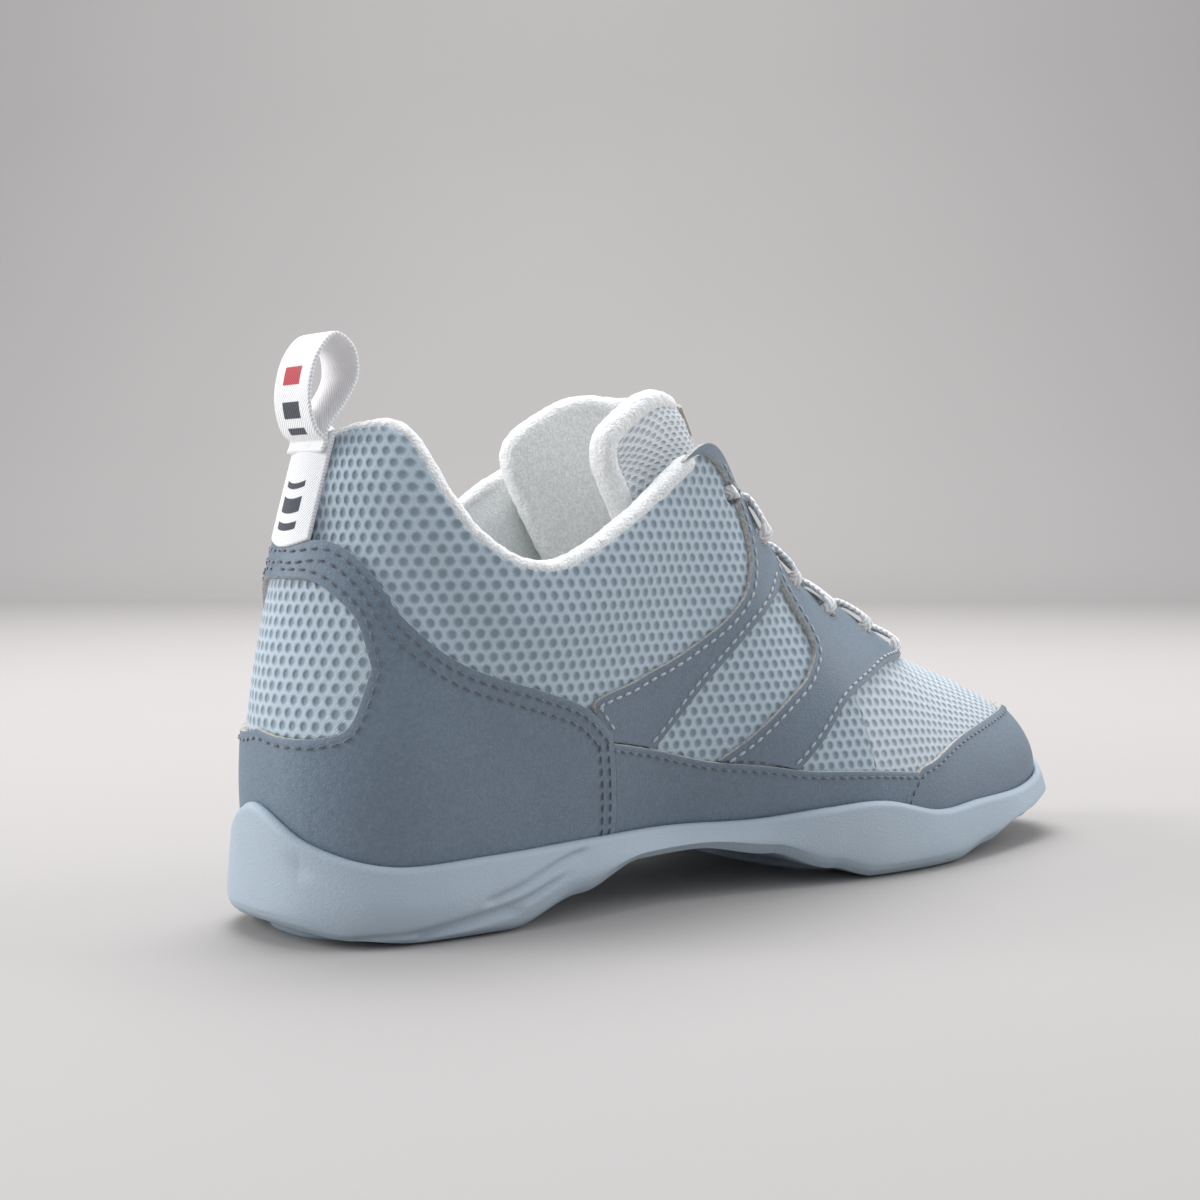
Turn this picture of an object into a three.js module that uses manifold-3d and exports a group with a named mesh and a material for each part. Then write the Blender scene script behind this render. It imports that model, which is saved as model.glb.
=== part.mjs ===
// A left cheer shoe: a foam cup sole, a mesh upper with leather-look overlays, a padded
// tongue, a threaded lace and a webbing pull loop at the heel.
// Millimetres, +X to the toe, +Y to the outer (lateral) side, +Z up, sole on z = 0.
import * as THREE from 'three';
import { mergeVertices } from 'three/addons/utils/BufferGeometryUtils.js';
import Module from 'manifold-3d';

const wasm = await Module();
wasm.setup();

// ---- driving dimensions -------------------------------------------------------------
const UPPER_LENGTH = 247; // heel back to toe tip, along the lasting edge
const UPPER_WIDTH = 81; // medial to lateral at the ball
const COLLAR_HEIGHT = 110.5; // top of the heel collar above the ground
const GAP = 0.3; // running gap between neighbouring pieces

const OVERLAY = 1.2; // leather-look overlays
const MESH = 1.8; // spacer mesh
const STIFFENER = 1.2; // heel counter, toe puff and eyelet backing
const COLLAR_FOAM = 3.6; // thickest foam, at the top of the collar
const LINING = 0.9;
const BINDING_RADIUS = 2.1; // terry roll along the collar

const RIM = 2.0; // wall of the sole's cup
const RIM_CLEARANCE = 0.6; // between the cup wall and the upper
const SIDE_FLARE = 3.6; // how far the sole's side stands out beyond the upper
const SOLE_BOTTOM = 0.6; // underside of the foam above the ground
const ARCH_HEIGHT = 11.4; // underside of the arch above the ground
const TOE_SPRING = 14; // underside of the toe tip above the ground
const TREAD = 2.6; // rubber tread pads, let into the foam
const TREAD_CLEARANCE = 0.4;
const HEEL_TREAD = { x: 33, y: 0, halfLength: 22, halfWidth: 18 };
const BALL_TREAD = { x: 167, y: 2, halfLength: 21, halfWidth: 29 };
const BOARD = 1.6; // lasting board
const SOCK = 4.0; // removable foam sock liner
const BOARD_INSET = 8.2; // from the upper's outer face to the edge of the board

const EYELETS = 6; // pairs
const EYELET_INSET = 8.5; // hole centre to the throat edge
const EYELET_RADIUS = 3.1;
const LACE_WIDTH = 4.4;
const LACE_THICKNESS = 1.8;

const TONGUE_SHELL = 1.4;
const TONGUE_FOAM = 3.4;
const TONGUE_LINING = 0.9;
const TONGUE_EDGE = 2.8; // radius of the rolled edge

const WEBBING_WIDTH = 14.5;
const WEBBING = 1.2;
const LOOP_HEIGHT = 22.5; // pinch to the top of the pull loop
const LOOP_DEPTH = 12.5; // front to back
const RIDGE_Y = -3.5; // the toe leans to the medial side
const RIDGE_SLOPE = 0.35;

// ---- the last: the outer face of the upper -------------------------------------------
// Stations run round the shoe: heel centre, medial side, toe, lateral side, back to the heel.
// Each holds the lasting edge x, y, z, the height of the sole's rim, the top line x, y, z,
// and the pull of the curve at each end: outward and up at the edge, outward and down at the top.
// BASE holds the sizes that the table is drawn at; the driving dimensions stretch it.
const BASE = { length: 247, width: 81, height: 110.5, start: 7, edge: 13 };
const STATIONS = [
  [7, 0, 13, 29, 18, 0, 107, 7, 32, 9, 30],
  [10, -14, 13, 21.4, 22, -10, 110.5, 6, 32, 7, 30],
  [22, -24, 12.5, 16.6, 30, -20, 108.5, 6, 32, 4, 28],
  [45, -27, 12.5, 16.8, 42, -29.5, 87, 4, 28, 1, 22],
  [72, -26, 13.5, 17.4, 60, -33, 80, 4, 26, 0, 20],
  [98, -24, 14.5, 17.5, 85, -31, 91, 6, 26, 0, 20],
  [122, -28, 14, 17, 111, -25, 107, 8, 26, 5, 24],
  [143, -33, 11, 18.5, 130, -17.5, 94, 7, 24, 8, 16],
  [160, -36, 8.5, 18.8, 147, -14, 76, 6, 22, 12, 8],
  [180, -36, 8, 14.6, 170, -11, 66, 5, 18, 14, 4],
  [200, -32, 9, 14.8, 195, -6.5, 54.5, 5, 15, 15, 1],
  [227, -25, 11, 15, 214, RIDGE_Y, 48.5, 5, 13, 14, 0],
  [244.5, -17, 14, 18, 225, RIDGE_Y, 44.5, 5, 12, 13, 0],
  [254, -2, 15.5, 21, 229, RIDGE_Y, 43, 5, 12, 13, 0],
  [246.5, 14, 14, 18, 225, RIDGE_Y, 44.5, 5, 12, 13, 0],
  [230, 26.5, 11, 15, 214, RIDGE_Y, 48.5, 5, 13, 14, 0],
  [206, 36.5, 9, 14.8, 195, -0.5, 54.5, 5, 15, 15, 1],
  [182, 40, 8, 14.6, 170, 7, 66, 5, 18, 14, 4],
  [160, 41, 8.5, 18.8, 147, 12, 76, 6, 22, 12, 8],
  [141, 38, 11, 18.5, 130, 17, 94, 7, 24, 8, 16],
  [120, 34, 14, 17, 111, 25, 109, 8, 26, 5, 24],
  [98, 30, 14.5, 17.5, 85, 30, 100, 6, 26, 0, 20],
  [72, 28, 13.5, 17.4, 61, 32, 84, 4, 26, 0, 20],
  [45, 28, 12.5, 16.8, 42, 29.5, 88, 4, 28, 1, 22],
  [22, 24, 12.5, 16.6, 30, 20, 108.5, 6, 32, 4, 28],
  [10, 14, 13, 21.4, 22, 10, 110.5, 6, 32, 7, 30],
];
const RING = STATIONS.length; // the station number runs from 0 to RING
const TOE = RING / 2;
const THROAT_TOP = 6; // station of the top of the eyelet rows
const THROAT_BASE = 11; // station where the two sides of the vamp meet

const stretch = {
  x: (x) => BASE.start + ((x - BASE.start) * UPPER_LENGTH) / BASE.length,
  y: (y) => (y * UPPER_WIDTH) / BASE.width,
};
// heights near the ground stay; only what is above the lasting edge grows with the collar
const raise = (z, floor) => (
  floor + ((z - floor) * (COLLAR_HEIGHT - BASE.edge)) / (BASE.height - BASE.edge));
const V3 = (x, y, z) => new THREE.Vector3(x, y, z);
const mix = (a, b, t) => a.clone().lerp(b, t);
const step = (a, b, x) => THREE.MathUtils.smoothstep(x, a, b);
const clamp = THREE.MathUtils.clamp;

function spline4(a, b, c, d, t) {
  const square = 2 * a - 5 * b + 4 * c - d;
  const cube = 3 * b - a - 3 * c + d;
  return 0.5 * (2 * b + (c - a) * t + square * t * t + cube * t * t * t);
}

function station(u) {
  const wrapped = ((u % RING) + RING) % RING;
  const k = Math.floor(wrapped);
  const rows = [-1, 0, 1, 2].map((s) => STATIONS[(k + s + RING) % RING]);
  const value = (n) => spline4(rows[0][n], rows[1][n], rows[2][n], rows[3][n], wrapped - k);
  const floor = value(2);
  let topY = value(5);
  if (Math.abs(wrapped - TOE) < TOE - THROAT_TOP) {
    topY = wrapped <= TOE ? Math.min(topY, RIDGE_Y) : Math.max(topY, RIDGE_Y);
  }
  const edge = V3(stretch.x(value(0)), stretch.y(value(1)), floor);
  const top = V3(stretch.x(value(4)), stretch.y(topY), raise(value(6), floor));
  return { edge, top, rim: value(3), pull: [7, 8, 9, 10].map(value), u: wrapped };
}

function outwardAt(u) {
  const ahead = station(u + 0.01).edge.sub(station(u - 0.01).edge);
  return V3(ahead.y, -ahead.x, 0).normalize();
}

function lastPoint(u, v) {
  const { edge, top, pull } = station(u);
  const low = edge.clone().addScaledVector(outwardAt(u), pull[0]);
  low.z += pull[1];
  const away = V3(edge.x - top.x, edge.y - top.y, 0).normalize();
  const high = top.clone().addScaledVector(away, pull[2]);
  const wrapped = ((u % RING) + RING) % RING;
  const ridge = clamp(TOE - THROAT_BASE + 2 - Math.abs(wrapped - TOE), 0, 1);
  high.z -= pull[3] + RIDGE_SLOPE * ridge * away.x * pull[2];
  return new THREE.CubicBezierCurve3(edge, low, high, top).getPoint(v);
}

function lastNormal(u, v) {
  const e = 0.004;
  const along = lastPoint(u + e, v).sub(lastPoint(u - e, v));
  const up = lastPoint(u, Math.min(v + e, 1)).sub(lastPoint(u, Math.max(v - e, 0)));
  return along.cross(up).normalize();
}

// share of the way up at a distance below the top line, measured square to that line
function shareBelowTop(u, distance) {
  const along = lastPoint(u + 0.02, 1).sub(lastPoint(u - 0.02, 1)).normalize();
  const down = lastPoint(u, 0.97).sub(lastPoint(u, 1));
  const perShare = down.length() / 0.03;
  const square = down.normalize().cross(along).length();
  return 1 - distance / (perShare * Math.max(square, 0.4));
}

// the layers stop short of the collar roll and run to the edge at the throat
function layerTop(u) {
  const wrapped = ((u % RING) + RING) % RING;
  const fromHeel = Math.min(wrapped, RING - wrapped);
  const collar = 1 - step(THROAT_TOP + 0.1, THROAT_TOP + 0.6, fromHeel);
  return 1 - collar * (1 - shareBelowTop(u, 2 * (BINDING_RADIUS + GAP)));
}

// ---- mesh helpers ----------------------------------------------------------------------
function geometryFrom(triangles) {
  const positions = new Float32Array(triangles.length * 9);
  triangles.flat().forEach((p, n) => p.toArray(positions, n * 3));
  const loose = new THREE.BufferGeometry();
  loose.setAttribute('position', new THREE.BufferAttribute(positions, 3));
  const merged = mergeVertices(loose, 1e-4);
  const index = merged.getIndex().array;
  const kept = [];
  for (let n = 0; n < index.length; n += 3) {
    const [a, b, c] = index.slice(n, n + 3);
    if (a !== b && b !== c && c !== a) kept.push(a, b, c);
  }
  merged.setIndex(kept);
  return facingOut(merged);
}

function facingOut(geometry) {
  const p = geometry.getAttribute('position');
  const index = geometry.getIndex().array;
  const corner = (n) => new THREE.Vector3().fromBufferAttribute(p, index[n]);
  let volume = 0;
  for (let n = 0; n < index.length; n += 3) {
    volume += corner(n).dot(corner(n + 1).cross(corner(n + 2)));
  }
  if (volume < 0) geometry.setIndex(Array.from(index).reverse());
  return geometry;
}

const quad = (a, b, c, d) => [[a, b, c], [a, c, d]];

function toSolid(geometry) {
  const vertProperties = geometry.getAttribute('position').array;
  const triVerts = new Uint32Array(geometry.getIndex().array);
  const mesh = new wasm.Mesh({ numProp: 3, vertProperties, triVerts });
  mesh.merge();
  return new wasm.Manifold(mesh);
}

function toGeometry(solid) {
  // slivers that a cut leaves behind are dropped with the smaller bodies
  const bodies = solid.decompose().sort((a, b) => b.volume() - a.volume());
  const { vertProperties, triVerts, numProp } = bodies[0].getMesh();
  const positions = new Float32Array((vertProperties.length / numProp) * 3);
  for (let n = 0; n < positions.length / 3; n += 1) {
    positions.set(vertProperties.slice(n * numProp, n * numProp + 3), n * 3);
  }
  const geometry = new THREE.BufferGeometry();
  geometry.setAttribute('position', new THREE.BufferAttribute(positions, 3));
  geometry.setIndex(Array.from(triVerts));
  return geometry;
}

// A sheet is a grid of points with a shared unit normal at each, so that layers made at
// different offsets from it stay parallel.
function makeSheet(columns, rows, pointAt) {
  const points = [];
  const normals = new Map();
  const key = (p) => p.toArray().map((c) => Math.round(c * 1000)).join();
  for (let i = 0; i <= columns; i += 1) {
    points.push(Array.from({ length: rows + 1 }, (_, j) => pointAt(i, j)));
  }
  for (let i = 0; i < columns; i += 1) {
    for (let j = 0; j < rows; j += 1) {
      const corners = [points[i][j], points[i + 1][j], points[i + 1][j + 1], points[i][j + 1]];
      const across = corners[2].clone().sub(corners[0]);
      const normal = across.cross(corners[3].clone().sub(corners[1]));
      corners.forEach((p) => {
        if (!normals.has(key(p))) normals.set(key(p), V3(0, 0, 0));
        normals.get(key(p)).add(normal);
      });
    }
  }
  return { columns, rows, points, normalAt: (p) => normals.get(key(p)).clone().normalize() };
}

function onSheet(sheet, i, j) {
  const i0 = clamp(Math.floor(i), 0, sheet.columns - 1);
  const j0 = clamp(Math.floor(j), 0, sheet.rows - 1);
  const blend = (at) => mix(
    mix(at(i0, j0), at(i0 + 1, j0), i - i0),
    mix(at(i0, j0 + 1), at(i0 + 1, j0 + 1), i - i0),
    j - j0,
  );
  const point = blend((a, b) => sheet.points[a][b]);
  return { point, normal: blend((a, b) => sheet.normalAt(sheet.points[a][b])).normalize() };
}

const between = (from, to) => {
  const inner = [];
  for (let n = Math.floor(from) + 1; n < to; n += 1) inner.push(n);
  return [from, ...inner, to];
};

// A closed layer of a sheet between two offsets along the normals, open where it has edges.
function layer(sheet, columnRange, rowRange, outer, inner) {
  const is = between(...columnRange);
  const js = between(...rowRange);
  const key = (p) => p.toArray().map((c) => Math.round(c * 1000)).join();
  const corner = (i, j) => {
    const { point, normal } = onSheet(sheet, i, j);
    const at = (offset) => point.clone().addScaledVector(normal, offset);
    return { id: key(point), out: at(outer(i, j)), inn: at(inner(i, j)) };
  };
  const grid = is.map((i) => js.map((j) => corner(i, j)));
  const faces = [];
  for (let a = 0; a + 1 < is.length; a += 1) {
    for (let b = 0; b + 1 < js.length; b += 1) {
      const q = [grid[a][b], grid[a + 1][b], grid[a + 1][b + 1], grid[a][b + 1]];
      faces.push([q[0], q[1], q[2]], [q[0], q[2], q[3]]);
    }
  }
  const whole = faces.filter(([a, b, c]) => a.id !== b.id && b.id !== c.id && c.id !== a.id);
  const edges = new Map();
  whole.forEach((f) => f.forEach((p, n) => edges.set(`${p.id}|${f[(n + 1) % 3].id}`, [p, f[(n + 1) % 3]])));
  const triangles = [];
  whole.forEach(([a, b, c]) => triangles.push([a.out, b.out, c.out], [a.inn, c.inn, b.inn]));
  edges.forEach(([a, b]) => {
    if (!edges.has(`${b.id}|${a.id}`)) triangles.push(...quad(b.out, a.out, a.inn, b.inn));
  });
  return geometryFrom(triangles);
}

// ---- patterns: seam lines as [station, share of the way up] --------------------------
const flat = (points) => {
  const inPlane = points.map(([u, v]) => V3(u, v, 0));
  return new THREE.CatmullRomCurve3(inPlane, false, 'centripetal');
};
const sampled = (points, count) => flat(points).getPoints(count).map((p) => [p.x, p.y]);
const mirrored = (points) => points.map(([u, v]) => [RING - u, v]);
const COLUMNS_PER_STATION = 2;
const ROWS = 6;
const CUT_OUT = 3; // how far cutters reach outside the upper
const CUT_IN = -5;

function onLast(u, v, offset) {
  const inside = clamp(v, 0, 1);
  return lastPoint(u, inside).addScaledVector(lastNormal(u, clamp(v, 0.004, 0.996)), offset);
}

// The block of space over a pattern piece whose two long edges are given.
function patchBlock(edgeA, edgeB, across = 6) {
  const at = (n, m, offset) => {
    const t = m / across;
    const [a, b] = [edgeA[n], edgeB[n]];
    return onLast(a[0] + (b[0] - a[0]) * t, a[1] + (b[1] - a[1]) * t, offset);
  };
  const sheet = makeSheet(edgeA.length - 1, across, (n, m) => at(n, m, 0));
  return toSolid(layer(sheet, [0, sheet.columns], [0, sheet.rows], () => CUT_OUT, () => CUT_IN));
}

// A thin wall along a seam, which leaves the gap between two pieces that meet there.
function seamWall(points, width = 2 * GAP) {
  const rings = points.map(([u, v], n) => {
    const before = onLast(...points[Math.max(n - 1, 0)], 0);
    const after = onLast(...points[Math.min(n + 1, points.length - 1)], 0);
    const normal = lastNormal(u, clamp(v, 0.004, 0.996));
    const side = after.sub(before).cross(normal).setLength(width / 2);
    const at = (s, d) => onLast(u, v, 0).addScaledVector(side, s).addScaledVector(normal, d);
    return [at(-1, CUT_IN), at(1, CUT_IN), at(1, CUT_OUT), at(-1, CUT_OUT)];
  });
  return toSolid(geometryFrom(loft(rings)));
}

// Triangles that join closed rings of points and cap the first and last.
function loft(rings) {
  const triangles = [];
  const size = rings[0].length;
  for (let n = 0; n + 1 < rings.length; n += 1) {
    for (let k = 0; k < size; k += 1) {
      const next = (k + 1) % size;
      triangles.push(...quad(rings[n][k], rings[n][next], rings[n + 1][next], rings[n + 1][k]));
    }
  }
  for (let k = 1; k + 1 < size; k += 1) {
    const last = rings[rings.length - 1];
    triangles.push([rings[0][0], rings[0][k + 1], rings[0][k]], [last[0], last[k], last[k + 1]]);
  }
  return triangles;
}

// A flat or round strip swept along points; `wide` gives the direction of its width at each.
function sweep(points, wide, halfWidth, halfThickness, sides = 8) {
  const rings = points.map((p, n) => {
    const before = points[Math.max(n - 1, 0)];
    const after = points[Math.min(n + 1, points.length - 1)];
    const along = after.clone().sub(before).normalize();
    const hint = wide[n];
    const thin = along.clone().cross(hint).normalize();
    const side = thin.clone().cross(along).normalize();
    return Array.from({ length: sides }, (_, k) => {
      const angle = ((k + 0.5) * 2 * Math.PI) / sides;
      const round = p.clone().addScaledVector(side, halfWidth * Math.cos(angle));
      return round.addScaledVector(thin, halfThickness * Math.sin(angle));
    });
  });
  return geometryFrom(loft(rings));
}

// ---- materials and the group --------------------------------------------------------
const material = (color, roughness) => new THREE.MeshStandardMaterial({ color, roughness, metalness: 0 });
const OVERLAY_GREY = material(0x7d8a96, 0.55);
const MESH_WHITE = material(0xc6d2da, 0.85);
const LINING_WHITE = material(0xe9ebe8, 0.9);
const FOAM = material(0xe6e2d6, 0.95);
const BOARD_GREY = material(0xb9b4a8, 0.9);
const SOLE_FOAM = material(0xb9cbd6, 0.6);
const RUBBER = material(0x9fb0bb, 0.7);
const TERRY = material(0xf0efe9, 0.95);
const WEB = material(0xf2f2f0, 0.8);

const shoe = new THREE.Group();
shoe.name = 'cheer_shoe';
// the origin is the middle of the heel tread, on the ground
shoe.position.x = -stretch.x(HEEL_TREAD.x);
function add(name, geometry, look) {
  const mesh = new THREE.Mesh(geometry, look);
  mesh.name = name;
  shoe.add(mesh);
}

// ---- the upper's layers -----------------------------------------------------------------
const COLUMNS = RING * COLUMNS_PER_STATION;
const column = (u) => u * COLUMNS_PER_STATION;
const upperPoint = (i, j) => {
  const u = i / COLUMNS_PER_STATION;
  return lastPoint(u, (j / ROWS) * layerTop(u));
};
const upper = makeSheet(COLUMNS, ROWS, upperPoint);
const SLIT = GAP / 7; // half the gap between two pieces of one layer, in columns
const meshOuter = -(OVERLAY + GAP);
const meshInner = meshOuter - MESH;
const slotOuter = meshInner - GAP;

// the space between mesh and lining: a stiffener's thickness, more under the collar
function slot(i, j) {
  const u = i / COLUMNS_PER_STATION;
  const fromHeel = Math.min(u, RING - u);
  const high = step(0.45, 0.85, j / ROWS) * (1 - step(4.9, 5.8, fromHeel));
  return STIFFENER + (COLLAR_FOAM - STIFFENER) * high;
}
const constant = (value) => () => value;
const slotInner = (i, j) => slotOuter - slot(i, j);
const liningOuter = (i, j) => slotInner(i, j) - GAP;
const liningInner = (i, j) => liningOuter(i, j) - LINING;

const EYELET_HOLES = [];
function meridianShare(u, distance) {
  let v = 1;
  for (let run = 0; run < distance; v -= 0.002) {
    run += lastPoint(u, v).distanceTo(lastPoint(u, v - 0.002));
  }
  return v;
}
// stations of the eyelets, spread evenly along the throat edge
function eyeletStations() {
  const fine = Array.from({ length: 201 }, (_, n) => THROAT_TOP + 0.05 + (n * 3.85) / 200);
  const lengths = [0];
  fine.slice(1).forEach((u, n) => {
    lengths.push(lengths[n] + lastPoint(u, 1).distanceTo(lastPoint(fine[n], 1)));
  });
  const total = lengths[lengths.length - 1];
  return Array.from({ length: EYELETS }, (_, k) => {
    const wanted = (total * (EYELETS - k - 0.5)) / EYELETS;
    return fine[lengths.findIndex((run) => run >= wanted)];
  });
}
const eyelets = eyeletStations().map((u) => {
  const v = meridianShare(u, EYELET_INSET);
  return { medial: [u, v], lateral: [RING - u, v] };
});
eyelets.forEach(({ medial, lateral }) => {
  [medial, lateral].forEach(([u, v]) => {
    const normal = lastNormal(u, v);
    const drill = new THREE.CylinderGeometry(EYELET_RADIUS, EYELET_RADIUS, 24, 6);
    drill.deleteAttribute('normal');
    drill.deleteAttribute('uv');
    drill.applyQuaternion(new THREE.Quaternion().setFromUnitVectors(V3(0, 1, 0), normal));
    const centre = lastPoint(u, v);
    drill.translate(centre.x, centre.y, centre.z);
    EYELET_HOLES.push(toSolid(mergeVertices(drill)));
  });
});
const punched = (solid) => EYELET_HOLES.reduce((body, hole) => body.subtract(hole), solid);

// seam lines of the medial side; the lateral side mirrors them
const HEEL_SEAM = [[0, 0.75], [1.1, 0.71], [1.65, 0.64], [2, 0.57], [2.5, 0.54], [3, 0.55], [3.6, 0.54],
  [4.1, 0.47], [4.35, 0.36], [4.35, 0.2], [4.35, 0]];
const WINDOW_TOP = [[0, 0.67], [0.6, 0.65], [1.05, 0.61], [1.5, 0.54], [1.7, 0.45]];
const WINDOW_LOW = [[0, 0.33], [0.6, 0.31], [1.1, 0.31], [1.5, 0.34], [1.7, 0.45]];
const REAR_STRAP_BACK = [[5.6, 1], [6.2, 0.93], [6.5, 0.85], [6.5, 0.76], [6.3, 0.64], [5.9, 0.55],
  [5.4, 0.51], [4.75, 0.49], [4.2, 0.46], [4.36, 0.335]];
const REAR_STRAP_FRONT = [[7.5, 1], [7.3, 0.85], [7.12, 0.73], [6.65, 0.61], [6, 0.49], [5.4, 0.39],
  [4.85, 0.275]];
const FRONT_STRAP_BACK = [[7.5, 1], [7.3, 0.85], [7.12, 0.73], [7.4, 0.58], [7.1, 0.47], [6.6, 0.37],
  [6, 0.26], [5.6, 0.205]];
const FRONT_STRAP_FRONT = [[10.1, 1], [9.7, 0.8], [8.7, 0.6], [7.75, 0.44], [7.1, 0.3], [6.6, 0.19]];
const FOXING_TOP = [[4.35, 0.33], [4.95, 0.26], [5.6, 0.2], [6.6, 0.19], [8.05, 0.24], [8.75, 0.25]];
const TOE_SEAM = [[8.3, 0], [8.4, 0.13], [8.75, 0.25], [9.1, 0.29], [10, 0.41], [11, 0.52], [12, 0.61],
  [13, 0.66]];
const SIDES = { medial: (points) => points, lateral: mirrored };

const overlaySheet = toSolid(layer(upper, [0, COLUMNS], [0, ROWS], constant(0), constant(-OVERLAY)));
const walls = Object.values(SIDES).flatMap((side) => [
  seamWall(side(sampled(HEEL_SEAM, 15))),
  seamWall(side(sampled(FOXING_TOP, 8))),
  seamWall(side(sampled(TOE_SEAM.slice(0, 4), 5))),
  seamWall(side(sampled(REAR_STRAP_FRONT.slice(0, 3), 4))),
]);
const trimmed = (solid) => walls.reduce((body, wall) => body.subtract(wall), solid);
const overlay = (block) => toGeometry(trimmed(overlaySheet.intersect(block)));

function windowBlock() {
  const top = sampled(WINDOW_TOP, 6);
  const low = sampled(WINDOW_LOW, 6);
  const whole = (half) => [...half.map(([u, v]) => [-u, v]).reverse(), ...half.slice(1)];
  return patchBlock(whole(low), whole(top), 2);
}

function addOverlays() {
  const seam = sampled(HEEL_SEAM.slice(0, HEEL_SEAM.length - 2), 12);
  const heelTop = [...seam.map(([u, v]) => [-u, v]).reverse(), ...seam.slice(1)];
  const heelBottom = heelTop.map(([u]) => [u, -0.01]);
  const heel = patchBlock(heelBottom, heelTop, 3).subtract(windowBlock());
  add('heel_overlay', overlay(heel), OVERLAY_GREY);
  const toeHalf = sampled(TOE_SEAM, 10);
  const toeTop = [...toeHalf, ...mirrored(toeHalf).reverse().slice(1)];
  const toe = patchBlock(toeTop.map(([u]) => [u, -0.01]), toeTop, 3);
  add('toe_cap_overlay', overlay(toe), OVERLAY_GREY);
  Object.entries(SIDES).forEach(([name, side]) => {
    const top = sampled(FOXING_TOP, 8);
    const [from, to] = [FOXING_TOP[0][0], TOE_SEAM[0][0]];
    const bottom = top.map((_, n) => [from + ((to - from) * n) / 8, 0]);
    add(`foxing_${name}`, overlay(patchBlock(side(bottom), side(top), 2)), OVERLAY_GREY);
    const rear = patchBlock(side(sampled(REAR_STRAP_BACK, 12)), side(sampled(REAR_STRAP_FRONT, 12)), 3);
    add(`rear_strap_${name}`, toGeometry(punched(trimmed(overlaySheet.intersect(rear)))), OVERLAY_GREY);
    const front = patchBlock(side(sampled(FRONT_STRAP_BACK, 12)), side(sampled(FRONT_STRAP_FRONT, 12)), 3);
    add(`front_strap_${name}`, toGeometry(punched(trimmed(overlaySheet.intersect(front)))), OVERLAY_GREY);
  });
}

const QUARTER_FRONT = column(8); // where quarter and vamp meet
const quarterRange = {
  medial: [SLIT, QUARTER_FRONT - SLIT],
  lateral: [COLUMNS - QUARTER_FRONT + SLIT, COLUMNS - SLIT],
};
const vampRange = [QUARTER_FRONT + SLIT, COLUMNS - QUARTER_FRONT - SLIT];

function addTextiles() {
  const panel = (range, outer, inner) => toSolid(layer(upper, range, [0, ROWS], outer, inner));
  const textile = (range) => panel(range, constant(meshOuter), constant(meshInner));
  const lining = (range) => panel(range, liningOuter, liningInner);
  const window = windowBlock();
  const rightHalf = [...sampled(WINDOW_TOP, 6), ...sampled(WINDOW_LOW, 6).reverse().slice(1)];
  const outline = seamWall(rightHalf);
  const otherHalf = seamWall(rightHalf.map(([u, v]) => [-u, v]));
  const heelMesh = textile([0, COLUMNS]).intersect(window).subtract(outline).subtract(otherHalf);
  add('heel_window_mesh', toGeometry(heelMesh), MESH_WHITE);
  Object.entries(quarterRange).forEach(([name, range]) => {
    const cut = textile(range).subtract(window).subtract(outline).subtract(otherHalf);
    add(`quarter_mesh_${name}`, toGeometry(punched(cut)), MESH_WHITE);
    add(`quarter_lining_${name}`, toGeometry(punched(lining(range))), LINING_WHITE);
  });
  add('vamp_mesh', toGeometry(punched(textile(vampRange))), MESH_WHITE);
  add('vamp_lining', toGeometry(punched(lining(vampRange))), LINING_WHITE);
}

function addStiffenersAndFoam() {
  const counterTop = 2.4; // rows up the upper
  const foamFrom = 2.7;
  const backingFrom = 4;
  const puffTop = 3.7;
  const counterEdge = column(4);
  const rowSlit = 0.05;
  // the counter wraps round the back, where the upper's own columns start and end
  const back = makeSheet(2 * counterEdge, ROWS, (i, j) => upperPoint(i - counterEdge, j));
  const counterInner = (i, j) => slotInner(0, j);
  const counter = layer(back, [0, 2 * counterEdge], [0, counterTop], constant(slotOuter), counterInner);
  add('heel_counter', counter, BOARD_GREY);
  const foamEnd = column(5.5);
  const foam = { medial: [SLIT, foamEnd], lateral: [COLUMNS - foamEnd, COLUMNS - SLIT] };
  Object.entries(foam).forEach(([name, range]) => {
    const pad = layer(upper, range, [foamFrom, ROWS - rowSlit], constant(slotOuter), slotInner);
    add(`collar_foam_${name}`, pad, FOAM);
  });
  const [backFrom, backTo] = [column(THROAT_TOP), column(9.5)];
  const backing = { medial: [backFrom, backTo], lateral: [COLUMNS - backTo, COLUMNS - backFrom] };
  Object.entries(backing).forEach(([name, range]) => {
    const strip = toSolid(layer(upper, range, [backingFrom, ROWS], constant(slotOuter), slotInner));
    add(`eyelet_backing_${name}`, toGeometry(punched(strip)), BOARD_GREY);
  });
  const puffRange = [column(10), COLUMNS - column(10)];
  const puff = layer(upper, puffRange, [0, puffTop], constant(slotOuter), slotInner);
  add('toe_puff', puff, BOARD_GREY);
}

const layerDepth = -liningInner(0, ROWS); // at the top of the heel
function addCollarBinding() {
  const end = THROAT_TOP - 0.03;
  const count = 36;
  const stations = Array.from({ length: count + 1 }, (_, n) => -end + (2 * end * n) / count);
  const points = stations.map((u) => {
    const depth = Math.abs(u) > 5.2 ? layerDepth / 2 - 1 : layerDepth / 2;
    return onLast(u, shareBelowTop(u, BINDING_RADIUS), -depth);
  });
  const up = points.map(() => V3(0, 0, 1));
  add('collar_binding', sweep(points, up, BINDING_RADIUS, BINDING_RADIUS, 8), TERRY);
}

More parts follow.
